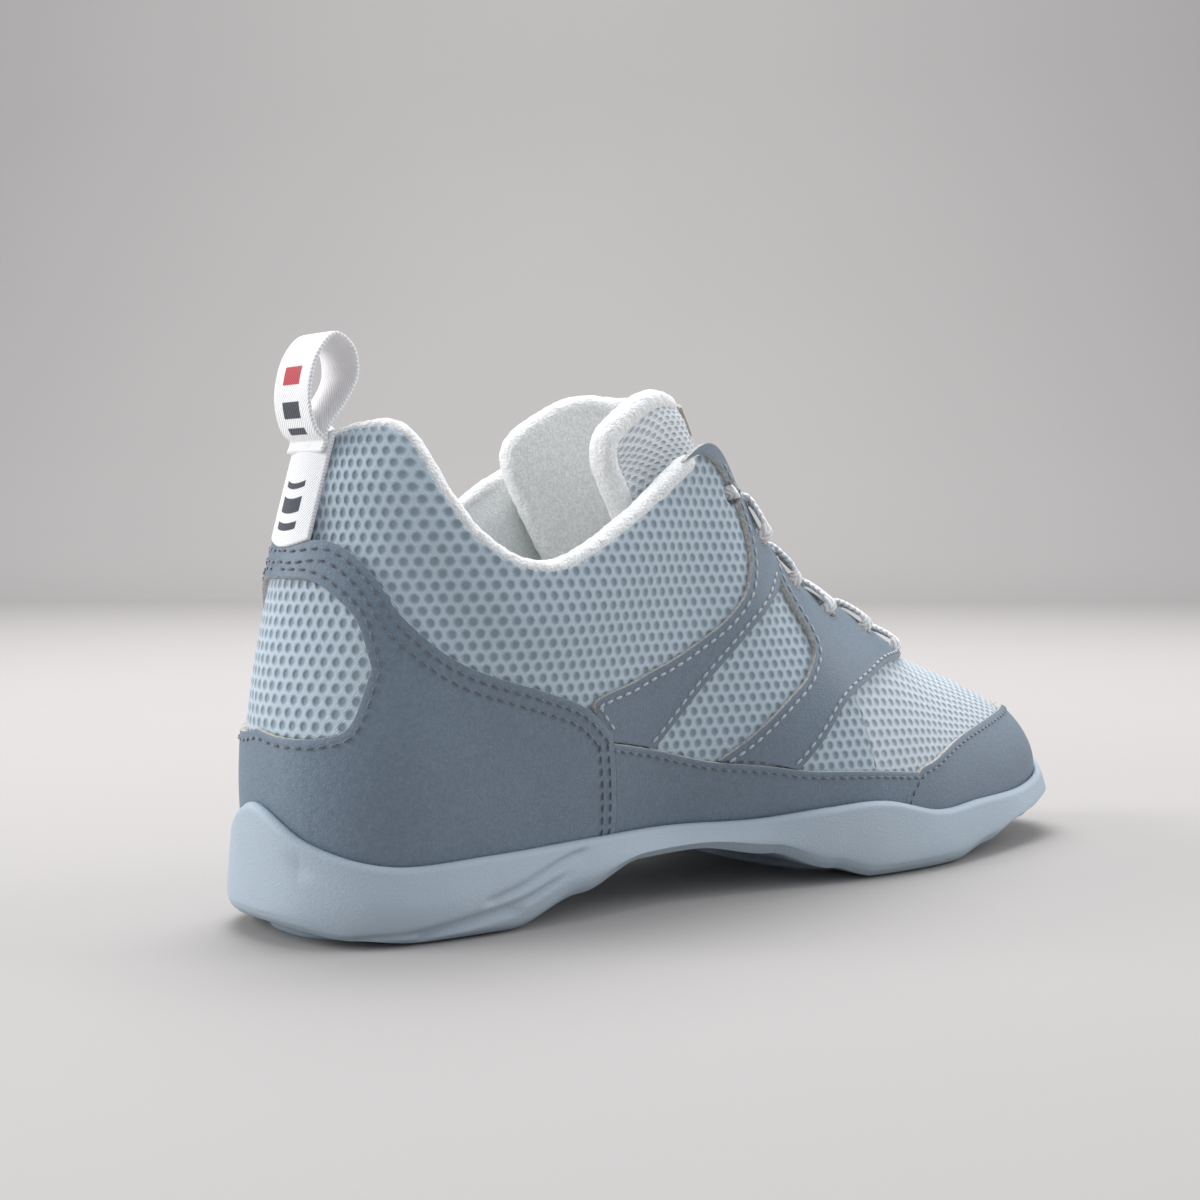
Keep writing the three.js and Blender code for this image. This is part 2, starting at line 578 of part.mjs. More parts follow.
// ---- the sole ----------------------------------------------------------------------------
// height of the foam's underside: [share of the length, height]
const UNDERSIDE = [[-0.02, 4.5], [0.03, 1.6], [0.08, SOLE_BOTTOM], [0.17, SOLE_BOTTOM],
  [0.25, ARCH_HEIGHT / 2], [0.33, ARCH_HEIGHT - 0.4], [0.4, ARCH_HEIGHT], [0.48, 8.6], [0.55, 3.6],
  [0.6, SOLE_BOTTOM], [0.73, SOLE_BOTTOM], [0.8, 3], [0.89, 7], [0.96, 11], [1.03, TOE_SPRING]];
function undersideAt(x) {
  const share = (x - BASE.start) / UPPER_LENGTH;
  const n = clamp(UNDERSIDE.findIndex(([s]) => s > share), 1, UNDERSIDE.length - 1);
  const [a, b] = [UNDERSIDE[n - 1], UNDERSIDE[n]];
  const t = clamp((share - a[0]) / (b[0] - a[0]), 0, 1);
  return a[1] + (b[1] - a[1]) * t * t * (3 - 2 * t);
}

function rimShare(u) {
  const { rim } = station(u);
  let [low, high] = [0, 0.6];
  for (let n = 0; n < 24; n += 1) {
    const middle = (low + high) / 2;
    if (lastPoint(u, middle).z < rim) low = middle;
    else high = middle;
  }
  return low;
}

function soleSection(u) {
  const out = outwardAt(u);
  const { edge } = station(u);
  const rim = lastPoint(u, rimShare(u));
  const move = (p, distance, z) => V3(p.x + out.x * distance, p.y + out.y * distance, z);
  const floor = edge.z - GAP;
  const under = undersideAt(edge.x + out.x * 2);
  const middle = floor - (floor - under) * 0.35;
  const wall = (z) => mix(edge, rim, clamp((z - edge.z) / Math.max(rim.z - edge.z, 1), 0, 1));
  return [
    move(edge, RIM_CLEARANCE, floor),
    move(wall((edge.z + rim.z) / 2), RIM_CLEARANCE + 0.3, (edge.z + rim.z) / 2),
    move(rim, RIM_CLEARANCE, rim.z),
    move(rim, RIM_CLEARANCE + RIM, rim.z - 0.4),
    move(edge, SIDE_FLARE + 1.2, middle),
    move(edge, SIDE_FLARE + 0.5, under + 2.6),
    move(edge, SIDE_FLARE - 2.4, under),
  ];
}

function acrossStrips(ring, heightAt, cells = 4) {
  const half = ring.length / 2;
  const line = (k) => {
    const [a, b] = [ring[k], ring[(ring.length - k) % ring.length]];
    return Array.from({ length: cells + 1 }, (_, m) => {
      const p = mix(a, b, m / cells);
      if (m > 0 && m < cells) p.z = heightAt(p, a.z + ((b.z - a.z) * m) / cells);
      return p;
    });
  };
  const triangles = [];
  for (let k = 0; k < half; k += 1) {
    const [near, far] = [line(k), line(k + 1)];
    for (let m = 0; m < cells; m += 1) triangles.push(...quad(near[m], near[m + 1], far[m + 1], far[m]));
  }
  return triangles;
}

const ellipse = ({ x, y, halfLength, halfWidth }, grow, z) => Array.from({ length: 28 }, (_, k) => {
  const angle = (k * 2 * Math.PI) / 28;
  const [c, s] = [Math.cos(angle), Math.sin(angle)];
  const square = (t) => Math.sign(t) * Math.abs(t) ** 0.75;
  const out = [(halfLength + grow) * square(c), (halfWidth + grow) * square(s)];
  return V3(stretch.x(x) + out[0], stretch.y(y) + out[1], z);
});

function addSole() {
  const sections = Array.from({ length: COLUMNS }, (_, i) => soleSection(i / COLUMNS_PER_STATION));
  const triangles = [];
  sections.forEach((section, i) => {
    const next = sections[(i + 1) % COLUMNS];
    for (let k = 0; k + 1 < section.length; k += 1) {
      triangles.push(...quad(section[k], section[k + 1], next[k + 1], next[k]));
    }
  });
  const floorRing = sections.map((s) => s[0]);
  const bottomRing = sections.map((s) => s[s.length - 1]);
  acrossStrips(floorRing, (p, z) => z).forEach(([a, b, c]) => triangles.push([a, c, b]));
  triangles.push(...acrossStrips(bottomRing, (p) => undersideAt(p.x)));
  let foam = toSolid(geometryFrom(triangles));
  [HEEL_TREAD, BALL_TREAD].forEach((pad) => {
    const pocket = [ellipse(pad, TREAD_CLEARANCE, -1), ellipse(pad, TREAD_CLEARANCE, TREAD + GAP)];
    foam = foam.subtract(toSolid(geometryFrom(loft(pocket))));
  });
  add('midsole', toGeometry(foam), SOLE_FOAM);
  add('heel_tread', geometryFrom(loft([ellipse(HEEL_TREAD, 0, 0), ellipse(HEEL_TREAD, 0, TREAD)])), RUBBER);
  add('ball_tread', geometryFrom(loft([ellipse(BALL_TREAD, 0, 0), ellipse(BALL_TREAD, 0, TREAD)])), RUBBER);
}

// A plate that follows the floor of the shoe, between two heights above the lasting edge.
function floorPlate(inset, low, high) {
  const ring = Array.from({ length: COLUMNS }, (_, k) => {
    const u = k / COLUMNS_PER_STATION;
    return station(u).edge.addScaledVector(outwardAt(u), -inset);
  });
  const raised = (height) => ring.map((p) => p.clone().add(V3(0, 0, height)));
  const [bottom, top] = [raised(low), raised(high)];
  const triangles = acrossStrips(bottom, (p, z) => z, 3);
  acrossStrips(top, (p, z) => z, 3).forEach(([a, b, c]) => triangles.push([a, c, b]));
  ring.forEach((_, k) => {
    const next = (k + 1) % ring.length;
    triangles.push(...quad(bottom[k], bottom[next], top[next], top[k]));
  });
  return geometryFrom(triangles);
}

function addInsole() {
  add('lasting_board', floorPlate(BOARD_INSET, 0, BOARD), BOARD_GREY);
  add('sock_liner', floorPlate(BOARD_INSET + 0.2, BOARD + GAP, BOARD + GAP + SOCK), FOAM);
}

// ---- the tongue ---------------------------------------------------------------------------
// Rows from the sewn base up: the middle of its outer face, then how far each side wraps
// back: [depth, half width, rise] at three places.
const TONGUE_ROWS = [
  { x: 203, z: 42.5, wrap: [[0.4, 4, 0], [1.2, 7.5, 0], [2, 10, 0]] },
  { x: 190, z: 47, wrap: [[0.6, 5, 0], [2, 9.5, 0], [4, 13, 0]] },
  { x: 172, z: 53, wrap: [[1, 7, 0], [3.5, 13, 0], [7, 18, 0]] },
  { x: 154, z: 61.5, wrap: [[1.5, 8, 0], [5, 15, 0], [11, 21, 0]] },
  { x: 139.5, z: 73, wrap: [[2.5, 9, 0], [8, 16, 0], [18, 21, 0]] },
  { x: 130.5, z: 87, wrap: [[4, 10, 0], [14, 16.5, 0], [30, 20, 1]] },
  { x: 126.5, z: 101, wrap: [[6, 10.5, 0], [20, 16.2, 2], [38, 20.5, 5]] },
  { x: 124.5, z: 110, wrap: [[7, 10.5, 1], [22, 16.5, 5], [41, 20.5, 9]] },
  { x: 120, z: 118, wrap: [[7, 10.5, 2], [20, 16.5, 8], [37, 20, 12]] },
];
const TONGUE_COLUMNS = 12;
const TONGUE_COVER = 11; // the upper's layers and the air over the tongue keep their height
const tongueHeight = (z) => raise(z + TONGUE_COVER, BASE.edge) - TONGUE_COVER;
function tongueCurve(row) {
  const { wrap } = TONGUE_ROWS[row];
  const middle = (n) => {
    const r = TONGUE_ROWS[clamp(n, 0, TONGUE_ROWS.length - 1)];
    return V3(stretch.x(r.x), RIDGE_Y * (1 - n / 5 > 0 ? 1 - n / 5 : 0), tongueHeight(r.z));
  };
  const up = middle(row + 1).sub(middle(row - 1)).normalize();
  const inward = V3(-up.z, 0, up.x).normalize();
  const at = (depth, y, rise) => middle(row).addScaledVector(inward, depth).add(V3(0, y, rise));
  const medial = wrap.map(([d, w, rise]) => at(d, stretch.y(-w), rise)).reverse();
  const lateral = wrap.map(([d, w, rise]) => at(d, stretch.y(w), rise));
  return new THREE.CatmullRomCurve3([...medial, middle(row), ...lateral], false, 'centripetal');
}
const tongueSheet = makeSheet(TONGUE_COLUMNS, TONGUE_ROWS.length - 1, (i, j) => (
  tongueCurve(j).getPoint(i / TONGUE_COLUMNS)));

function addTongue() {
  const { columns, rows } = tongueSheet;
  const shellInner = -TONGUE_SHELL;
  const foamOuter = shellInner - GAP - 0.1;
  const foamInner = foamOuter - TONGUE_FOAM;
  const liningFace = foamInner - GAP;
  const all = [[0, columns], [0, rows]];
  add('tongue_shell', layer(tongueSheet, ...all, constant(0), constant(shellInner)), MESH_WHITE);
  const within = [[0.4, columns - 0.4], [0.3, rows - 0.3]];
  add('tongue_foam', layer(tongueSheet, ...within, constant(foamOuter), constant(foamInner)), FOAM);
  const liningBack = constant(liningFace - TONGUE_LINING);
  add('tongue_lining', layer(tongueSheet, ...all, constant(liningFace), liningBack), LINING_WHITE);
  const depth = (TONGUE_LINING - liningFace) / 2;
  const outline = [];
  for (let j = 4; j < rows; j += 1) outline.push([0, j, -1, 0]);
  outline.push([0, rows, -1, 1]);
  for (let i = 1; i < columns; i += 1) outline.push([i, rows, 0, 1]);
  outline.push([columns, rows, 1, 1]);
  for (let j = rows - 1; j >= 4; j -= 1) outline.push([columns, j, 1, 0]);
  const points = outline.map(([i, j, sideways, upward]) => {
    const here = onSheet(tongueSheet, i, j);
    const beside = onSheet(tongueSheet, clamp(i - sideways, 0, columns), clamp(j - upward, 0, rows));
    const away = here.point.clone().sub(beside.point).normalize();
    return here.point.addScaledVector(here.normal, -depth).addScaledVector(away, TONGUE_EDGE + 2 * GAP);
  });
  const facing = outline.map(([i, j]) => onSheet(tongueSheet, i, j).normal);
  add('tongue_edge', sweep(points, facing, TONGUE_EDGE, TONGUE_EDGE, 8), TERRY);
}

// ---- the lace -------------------------------------------------------------------------------
const laceLift = LACE_THICKNESS / 2 + GAP;
const eyestayDepth = -liningInner(column(7.5), ROWS);

// A crossing runs from above one eyelet, over the throat edge, across the tongue, under the
// other edge and up through the next eyelet.
function laceRoute() {
  const route = [];
  const push = (point, wide) => route.push({ point, wide });
  const throatAt = (u) => {
    const along = lastPoint(u + 0.1, 1).sub(lastPoint(u - 0.1, 1)).normalize();
    return along.z < 0 ? along.negate() : along;
  };
  const at = ([u, v], offset) => push(onLast(u, v, offset), throatAt(u));
  const above = laceLift + 0.7;
  const below = -(eyestayDepth + laceLift + 0.5);
  const other = { medial: 'lateral', lateral: 'medial' };
  const runFrom = (start) => {
    let side = start;
    const part = [];
    for (let k = 0; k + 1 < EYELETS; k += 1) {
      part.push([eyelets[k][side], eyelets[k + 1][other[side]], k, side]);
      side = other[side];
    }
    return part;
  };
  // just past the throat edge, over or under it
  const pastEdge = ([u], beyond, offset) => {
    const inward = V3(0, u < TOE ? beyond : -beyond, 0);
    push(onLast(u, 1, offset).add(inward), throatAt(u));
  };
  // on the tongue, at a share of the way from one throat edge to the other
  const onTongue = (a, b, share, lift) => {
    const target = mix(onLast(a[0], 1, below), onLast(b[0], 1, below), share);
    const best = { distance: Infinity };
    for (let j = 0; j <= tongueSheet.rows; j += 0.2) {
      for (let i = 1; i < TONGUE_COLUMNS; i += 0.2) {
        const { point, normal } = onSheet(tongueSheet, i, j);
        const distance = point.distanceTo(target);
        if (distance < best.distance) Object.assign(best, { distance, point, normal, i, j });
      }
    }
    const { rows } = tongueSheet;
    const up = onSheet(tongueSheet, best.i, Math.min(best.j + 0.5, rows)).point;
    up.sub(onSheet(tongueSheet, best.i, Math.max(best.j - 0.5, 0)).point).normalize();
    push(best.point.clone().addScaledVector(best.normal, lift), up);
  };
  const addRun = ([from, to, k, side]) => {
    const over = side === 'medial' ? 1 : 0;
    at(from, below);
    at(from, -eyestayDepth / 2);
    at(from, above);
    at([from[0], (from[1] + 1) / 2], above);
    pastEdge(from, 1.6, above);
    pastEdge(from, 2.6, above - 3);
    onTongue(from, to, 0.2, laceLift + 0.5);
    onTongue(from, to, 0.35, laceLift + 0.5);
    onTongue(from, to, 0.5, laceLift + 0.9 + over * (LACE_THICKNESS + GAP));
    onTongue(from, to, 0.65, laceLift + 0.5);
    onTongue(from, to, 0.8, laceLift + 0.5);
    pastEdge(to, 0.5, below);
    at([to[0], (to[1] + 1) / 2], below);
  };
  return { push, at, addRun, runFrom, route, below };
}

function addLace() {
  const { push, at, addRun, runFrom, route, below } = laceRoute();
  // both ends come up through the top pair and stop in the holes
  const laceEnd = (side) => {
    at(eyelets[EYELETS - 1][side], below);
    at(eyelets[EYELETS - 1][side], -eyestayDepth / 2);
    at(eyelets[EYELETS - 1][side], 0);
  };
  laceEnd('lateral');
  route.reverse();
  const runs = runFrom('medial').reverse();
  const back = [];
  runs.forEach((run) => {
    const before = route.length;
    addRun(run);
    back.push(...route.splice(before).reverse());
  });
  route.push(...back);
  const bar = lastPoint(eyelets[0].medial[0], 1);
  push(V3(bar.x, RIDGE_Y, bar.z - eyestayDepth - laceLift - 0.6), V3(-1, 0, 1).normalize());
  runFrom('lateral').forEach(addRun);
  laceEnd('medial');
  const strip = [route.map((r) => r.point), route.map((r) => r.wide)];
  add('lace', sweep(...strip, LACE_WIDTH / 2, LACE_THICKNESS / 2, 6), WEB);
}

// ---- the pull loop --------------------------------------------------------------------------
const heelTop = lastPoint(0, 1);
const PINCH = V3(heelTop.x - 1.6, 0, heelTop.z - 0.5);

function addPullLoop() {
  const half = WEBBING_WIDTH / 2;
  const stationAt = (v, y) => {
    let [low, high] = y < 0 ? [0, 2] : [-2, 0];
    for (let n = 0; n < 24; n += 1) {
      const middle = (low + high) / 2;
      if (lastPoint(middle, v).y > y) low = middle;
      else high = middle;
    }
    return (low + high) / 2;
  };
  const tuck = 0.775; // just above the heel overlay
  const legs = makeSheet(4, 6, (i, j) => {
    const v = tuck + ((0.965 - tuck) * j) / 6;
    const y = half * (1 - i / 2);
    return lastPoint(Math.abs(y) < 0.1 ? 0 : stationAt(v, y), v);
  });
  const legsOuter = meshOuter + GAP + 2 * WEBBING;
  add('pull_loop_legs', layer(legs, [0, 4], [0, 6], constant(legsOuter), constant(meshOuter + GAP)), WEB);
  const [d, h] = [LOOP_DEPTH, LOOP_HEIGHT];
  const profile = [[-0.75, 0.3], [-0.2 * d, 0.2 * h], [-0.23 * d, 0.45 * h], [-0.05 * d, 0.78 * h],
    [0.3 * d, 0.97 * h], [0.64 * d, 0.84 * h], [0.7 * d, 0.58 * h], [0.45 * d, 0.32 * h], [0.75, 0.3]];
  const bend = profile.map(([x, z]) => V3(PINCH.x + x, 0, PINCH.z + z));
  const path = new THREE.CatmullRomCurve3(bend, false, 'centripetal').getSpacedPoints(24);
  const rings = path.map((p, n) => {
    const along = path[Math.min(n + 1, path.length - 1)].clone().sub(path[Math.max(n - 1, 0)]).normalize();
    const thick = V3(-along.z, 0, along.x).multiplyScalar(WEBBING / 2);
    const at = (y, s) => p.clone().addScaledVector(thick, s).add(V3(0, y, 0));
    return [at(-half, -1), at(half, -1), at(half, 1), at(-half, 1)];
  });
  add('pull_loop', geometryFrom(loft(rings)), WEB);
}

addSole();
addInsole();
addTextiles();
addStiffenersAndFoam();
addOverlays();
addCollarBinding();
addTongue();
addLace();
addPullLoop();

export default shoe;
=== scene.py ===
import math

import bmesh
import bpy
import numpy as np
from mathutils import Matrix, Vector, noise


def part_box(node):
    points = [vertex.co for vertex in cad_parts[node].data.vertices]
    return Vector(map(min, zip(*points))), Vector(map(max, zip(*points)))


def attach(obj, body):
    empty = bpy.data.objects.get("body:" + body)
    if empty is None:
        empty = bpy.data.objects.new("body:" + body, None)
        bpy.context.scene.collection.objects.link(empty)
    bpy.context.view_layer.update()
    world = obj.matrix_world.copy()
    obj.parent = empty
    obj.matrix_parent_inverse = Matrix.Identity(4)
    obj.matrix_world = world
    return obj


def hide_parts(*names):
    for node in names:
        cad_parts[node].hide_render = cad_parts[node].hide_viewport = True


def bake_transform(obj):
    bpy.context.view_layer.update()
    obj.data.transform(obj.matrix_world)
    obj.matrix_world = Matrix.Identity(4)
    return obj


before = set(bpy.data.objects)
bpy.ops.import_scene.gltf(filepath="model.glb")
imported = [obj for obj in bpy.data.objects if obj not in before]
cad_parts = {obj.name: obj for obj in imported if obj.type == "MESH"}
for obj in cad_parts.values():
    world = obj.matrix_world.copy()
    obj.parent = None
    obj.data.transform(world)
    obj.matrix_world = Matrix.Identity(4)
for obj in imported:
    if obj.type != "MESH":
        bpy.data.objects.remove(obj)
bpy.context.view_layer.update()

# ---- the last, as the frame's part has it: millimetres, then moved over the heel tread ----
LAST_X_OF_HEEL_TREAD = 33
OVERLAY, TEXTILE, GAP = 1.2, 1.8, 0.3
STIFFENER, COLLAR_FOAM, LINING = 1.2, 3.6, 0.9
ROLL = 2.1
SIDE_FLARE = 3.6
EYELETS, EYELET_INSET, EYELET_RADIUS = 6, 8.5, 3.1
LACE_WIDTH, LACE_THICKNESS = 5.0, 1.5
WEBBING_WIDTH, WEBBING = 14.5, 1.2
LOOP_HEIGHT, LOOP_DEPTH = 22.5, 12.5
RIDGE_Y, RIDGE_SLOPE = -3.5, 0.35
R = RIDGE_Y
STATIONS = np.array([
    [7, 0, 13, 29, 18, 0, 107, 7, 32, 9, 30],
    [10, -14, 13, 21.4, 22, -10, 110.5, 6, 32, 7, 30],
    [22, -24, 12.5, 16.6, 30, -20, 108.5, 6, 32, 4, 28],
    [45, -27, 12.5, 16.8, 42, -29.5, 87, 4, 28, 1, 22],
    [72, -26, 13.5, 17.4, 60, -33, 80, 4, 26, 0, 20],
    [98, -24, 14.5, 17.5, 85, -31, 91, 6, 26, 0, 20],
    [122, -28, 14, 17, 111, -25, 107, 8, 26, 5, 24],
    [143, -33, 11, 18.5, 130, -17.5, 94, 7, 24, 8, 16],
    [160, -36, 8.5, 18.8, 147, -14, 76, 6, 22, 12, 8],
    [180, -36, 8, 14.6, 170, -11, 66, 5, 18, 14, 4],
    [200, -32, 9, 14.8, 195, -6.5, 54.5, 5, 15, 15, 1],
    [227, -25, 11, 15, 214, R, 48.5, 5, 13, 14, 0],
    [244.5, -17, 14, 18, 225, R, 44.5, 5, 12, 13, 0],
    [254, -2, 15.5, 21, 229, R, 43, 5, 12, 13, 0],
    [246.5, 14, 14, 18, 225, R, 44.5, 5, 12, 13, 0],
    [230, 26.5, 11, 15, 214, R, 48.5, 5, 13, 14, 0],
    [206, 36.5, 9, 14.8, 195, -0.5, 54.5, 5, 15, 15, 1],
    [182, 40, 8, 14.6, 170, 7, 66, 5, 18, 14, 4],
    [160, 41, 8.5, 18.8, 147, 12, 76, 6, 22, 12, 8],
    [141, 38, 11, 18.5, 130, 17, 94, 7, 24, 8, 16],
    [120, 34, 14, 17, 111, 25, 109, 8, 26, 5, 24],
    [98, 30, 14.5, 17.5, 85, 30, 100, 6, 26, 0, 20],
    [72, 28, 13.5, 17.4, 61, 32, 84, 4, 26, 0, 20],
    [45, 28, 12.5, 16.8, 42, 29.5, 88, 4, 28, 1, 22],
    [22, 24, 12.5, 16.6, 30, 20, 108.5, 6, 32, 4, 28],
    [10, 14, 13, 21.4, 22, 10, 110.5, 6, 32, 7, 30],
], float)
RING = len(STATIONS)
TOE = RING / 2
THROAT_TOP, THROAT_BASE = 6, 11
PANEL_END = 8  # the station where the quarters meet the vamp
HEEL_BEND_X, HEEL_BEND = 28, 25  # where the upper starts to turn round the heel, and how widely
HEEL_LIFT, SKIN_EDGE = 0.45, 0.32

tread_low, tread_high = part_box("heel_tread")
ORIGIN = np.array([(tread_low.x + tread_high.x) * 500 - LAST_X_OF_HEEL_TREAD, 0, 0])


def metres(points):
    return (np.asarray(points, float) + ORIGIN) / 1000


def unit(vectors):
    return vectors / np.maximum(np.linalg.norm(vectors, axis=-1, keepdims=True), 1e-9)


def smooth(low, high, x):
    t = np.clip((x - low) / (high - low), 0, 1)
    return t * t * (3 - 2 * t)


def travelled(points):
    """The length of the way along points, up to each one."""
    return np.concatenate([[0], np.cumsum(np.linalg.norm(np.diff(points, axis=0), axis=1))])


def through(a, b, c, d, t):
    return 0.5 * (2 * b + (c - a) * t + (2 * a - 5 * b + 4 * c - d) * t**2 + (3 * b - a - 3 * c + d) * t**3)


def station(u):
    u = np.atleast_1d(np.asarray(u, float))
    place = np.mod(u, RING)
    k = np.floor(place).astype(int)
    rows = [STATIONS[(k + s) % RING] for s in (-1, 0, 1, 2)]
    value = through(*rows, (place - k)[:, None])
    y = value[:, 5].copy()
    ridge = np.where(place <= TOE, np.minimum(y, RIDGE_Y), np.maximum(y, RIDGE_Y))
    value[:, 5] = np.where(np.abs(place - TOE) < TOE - THROAT_TOP, ridge, y)
    return place, value


def outward(u):
    ahead = station(np.asarray(u) + 0.01)[1][:, :2] - station(np.asarray(u) - 0.01)[1][:, :2]
    return unit(np.stack([ahead[:, 1], -ahead[:, 0], 0 * ahead[:, 0]], 1))


def last(u, v):
    place, row = station(u)
    v = np.broadcast_to(np.asarray(v, float), place.shape)[:, None]
    edge, top = row[:, 0:3], row[:, 4:7]
    low = edge + outward(u) * row[:, 7:8]
    low[:, 2] += row[:, 8]
    away = edge - top
    away[:, 2] = 0
    away = unit(away) * smooth(0, 5, np.linalg.norm(away, axis=1))[:, None]
    high = top + away * row[:, 9:10]
    ridge = np.clip(TOE - THROAT_BASE + 2 - np.abs(place - TOE), 0, 1)
    high[:, 2] -= row[:, 10] + RIDGE_SLOPE * ridge * away[:, 0] * row[:, 9]
    w = 1 - v
    return w**3 * edge + 3 * w * w * v * low + 3 * w * v * v * high + v**3 * top


def facing(u, v):
    u = np.atleast_1d(np.asarray(u, float))
    v = np.clip(np.broadcast_to(np.asarray(v, float), u.shape), 0.004, 0.996)
    e = 0.004
    return unit(np.cross(last(u + e, v) - last(u - e, v), last(u, v + e) - last(u, v - e)))


def skin(u, v, depth=0.0):
    """Points on the upper, a depth inside its outer face."""
    u = np.atleast_1d(np.asarray(u, float))
    depth = np.broadcast_to(np.asarray(depth, float), u.shape)[:, None]
    return last(u, np.clip(v, 0, 1)) - facing(u, v) * depth


def from_heel(u):
    place = np.mod(u, RING)
    return np.minimum(place, RING - place)


def below_top(u, distance):
    along = unit(last(u + 0.02, 1) - last(u - 0.02, 1))
    down = last(u, 0.97) - last(u, 1)
    steep = np.linalg.norm(down, axis=1) / 0.03
    square = np.linalg.norm(np.cross(unit(down), along), axis=1)
    return 1 - distance / (steep * np.maximum(square, 0.4))


def layer_top(u):
    u = np.atleast_1d(np.asarray(u, float))
    collar = 1 - smooth(THROAT_TOP + 0.1, THROAT_TOP + 0.6, from_heel(u))
    return 1 - collar * (1 - below_top(u, 2 * (ROLL + GAP) - 2.4))


def foam_depth(u, v):
    high = smooth(0.45, 0.85, v) * (1 - smooth(4.9, 5.8, from_heel(u)))
    return STIFFENER + (COLLAR_FOAM - STIFFENER) * high


def inner_depth(u, v):
    """How far the lining's inner face is inside the upper's outer face."""
    return OVERLAY + GAP + TEXTILE + GAP + foam_depth(u, v) + GAP + LINING


# ---- lines on the upper: [station, share of the way up] ----
HEEL_SEAM = [[0, 0.75], [1.1, 0.71], [1.65, 0.64], [2, 0.57], [2.5, 0.54], [3, 0.55], [3.6, 0.54],
             [4.1, 0.47], [4.35, 0.36]]
HEEL_FRONT = [[4.35, 0.36], [4.35, 0.2], [4.35, 0]]
WINDOW_TOP = [[0, 0.67], [0.6, 0.65], [1.05, 0.61], [1.5, 0.54], [1.7, 0.45]]
WINDOW_LOW = [[0, 0.33], [0.6, 0.31], [1.1, 0.31], [1.5, 0.34], [1.7, 0.45]]
REAR_STRAP_BACK = [[5.6, 1], [6.2, 0.93], [6.5, 0.85], [6.5, 0.76], [6.3, 0.64], [5.9, 0.55],
                   [5.4, 0.51], [4.75, 0.49], [4.2, 0.46], [4.36, 0.335]]
REAR_STRAP_FRONT = [[7.5, 1], [7.3, 0.85], [7.12, 0.73], [6.65, 0.61], [6, 0.49], [5.4, 0.39],
                    [4.85, 0.275]]
FRONT_STRAP_BACK = [[7.5, 1], [7.3, 0.85], [7.12, 0.73], [7.4, 0.58], [7.1, 0.47], [6.6, 0.37],
                    [6, 0.26], [5.6, 0.205]]
FRONT_STRAP_FRONT = [[10.1, 1], [9.7, 0.8], [8.7, 0.6], [7.75, 0.44], [7.1, 0.3], [6.6, 0.19]]
FOXING_TOP = [[4.35, 0.33], [4.95, 0.26], [5.6, 0.2], [6.6, 0.19], [8.05, 0.24], [8.75, 0.25]]
TOE_SEAM = [[8.3, 0], [8.4, 0.13], [8.75, 0.25], [9.1, 0.29], [10, 0.41], [11, 0.52], [12, 0.61],
            [13, 0.66]]


def line(points, count=61):
    """A smooth line through points, sampled evenly; its knots are spaced as the points are."""
    p = np.array(points, float)
    p = np.vstack([2 * p[0] - p[1], p, 2 * p[-1] - p[-2]])
    knots = np.concatenate([[0], np.cumsum(np.sqrt(np.linalg.norm(np.diff(p, axis=0), axis=1)))])
    made = []
    for share in np.linspace(0, len(points) - 1, count):
        k = min(int(share), len(points) - 2)
        t0, t1, t2, t3 = knots[k:k + 4]
        t = t1 + (t2 - t1) * (share - k)
        a, b, c, d = p[k:k + 4]
        ab = a + (b - a) * (t - t0) / (t1 - t0)
        bc = b + (c - b) * (t - t1) / (t2 - t1)
        cd = c + (d - c) * (t - t2) / (t3 - t2)
        abc = ab + (bc - ab) * (t - t0) / (t2 - t0)
        bcd = bc + (cd - bc) * (t - t1) / (t3 - t1)
        made.append(abc + (bcd - abc) * (t - t1) / (t2 - t1))
    return np.array(made)


def other_side(points):
    return np.stack([RING - points[:, 0], points[:, 1]], 1)


SIDES = {"medial": lambda points: points, "lateral": other_side}


def along(points, share):
    at = np.linspace(0, 1, len(points))
    return np.stack([np.interp(share, at, points[:, n]) for n in range(points.shape[1])], 1)


# ---- eyelets ----
def eyelet_places():
    fine = THROAT_TOP + 0.05 + np.arange(201) * 3.85 / 200
    run = travelled(last(fine, 1))
    places = []
    for k in range(EYELETS):
        u = fine[np.argmax(run >= run[-1] * (EYELETS - k - 0.5) / EYELETS)]
        v = np.linspace(1, 0.5, 251)
        depth = travelled(last(np.full(251, u), v))[1:]
        places.append((u, v[np.argmax(depth > EYELET_INSET) + 1]))
    return places


EYELET_PLACES = eyelet_places()
HOLES = []
for u, v in EYELET_PLACES:
    for where in (u, RING - u):
        HOLES.append((last(where, v)[0], facing(where, v)[0]))


# ---- looks: materials written as sums on sockets ----
class Signal:
    """A node's output. Sums on it add Math nodes to its material."""

    def __init__(self, look, socket):
        self.look, self.socket = look, socket

    def math(self, operation, *others):
        values = {n: value for n, value in enumerate((self, *others))}
        return self.look.node("ShaderNodeMath", {"operation": operation}, values)

    def __add__(self, other):
        return self.math("ADD", other)

    __radd__ = __add__

    def __sub__(self, other):
        return self.math("SUBTRACT", other)

    def __rsub__(self, other):
        return (self * -1.0).math("ADD", other)

    def __mul__(self, other):
        return self.math("MULTIPLY", other)

    __rmul__ = __mul__

    def __truediv__(self, other):
        return self.math("DIVIDE", other)

    def __pow__(self, other):
        return self.math("POWER", other)


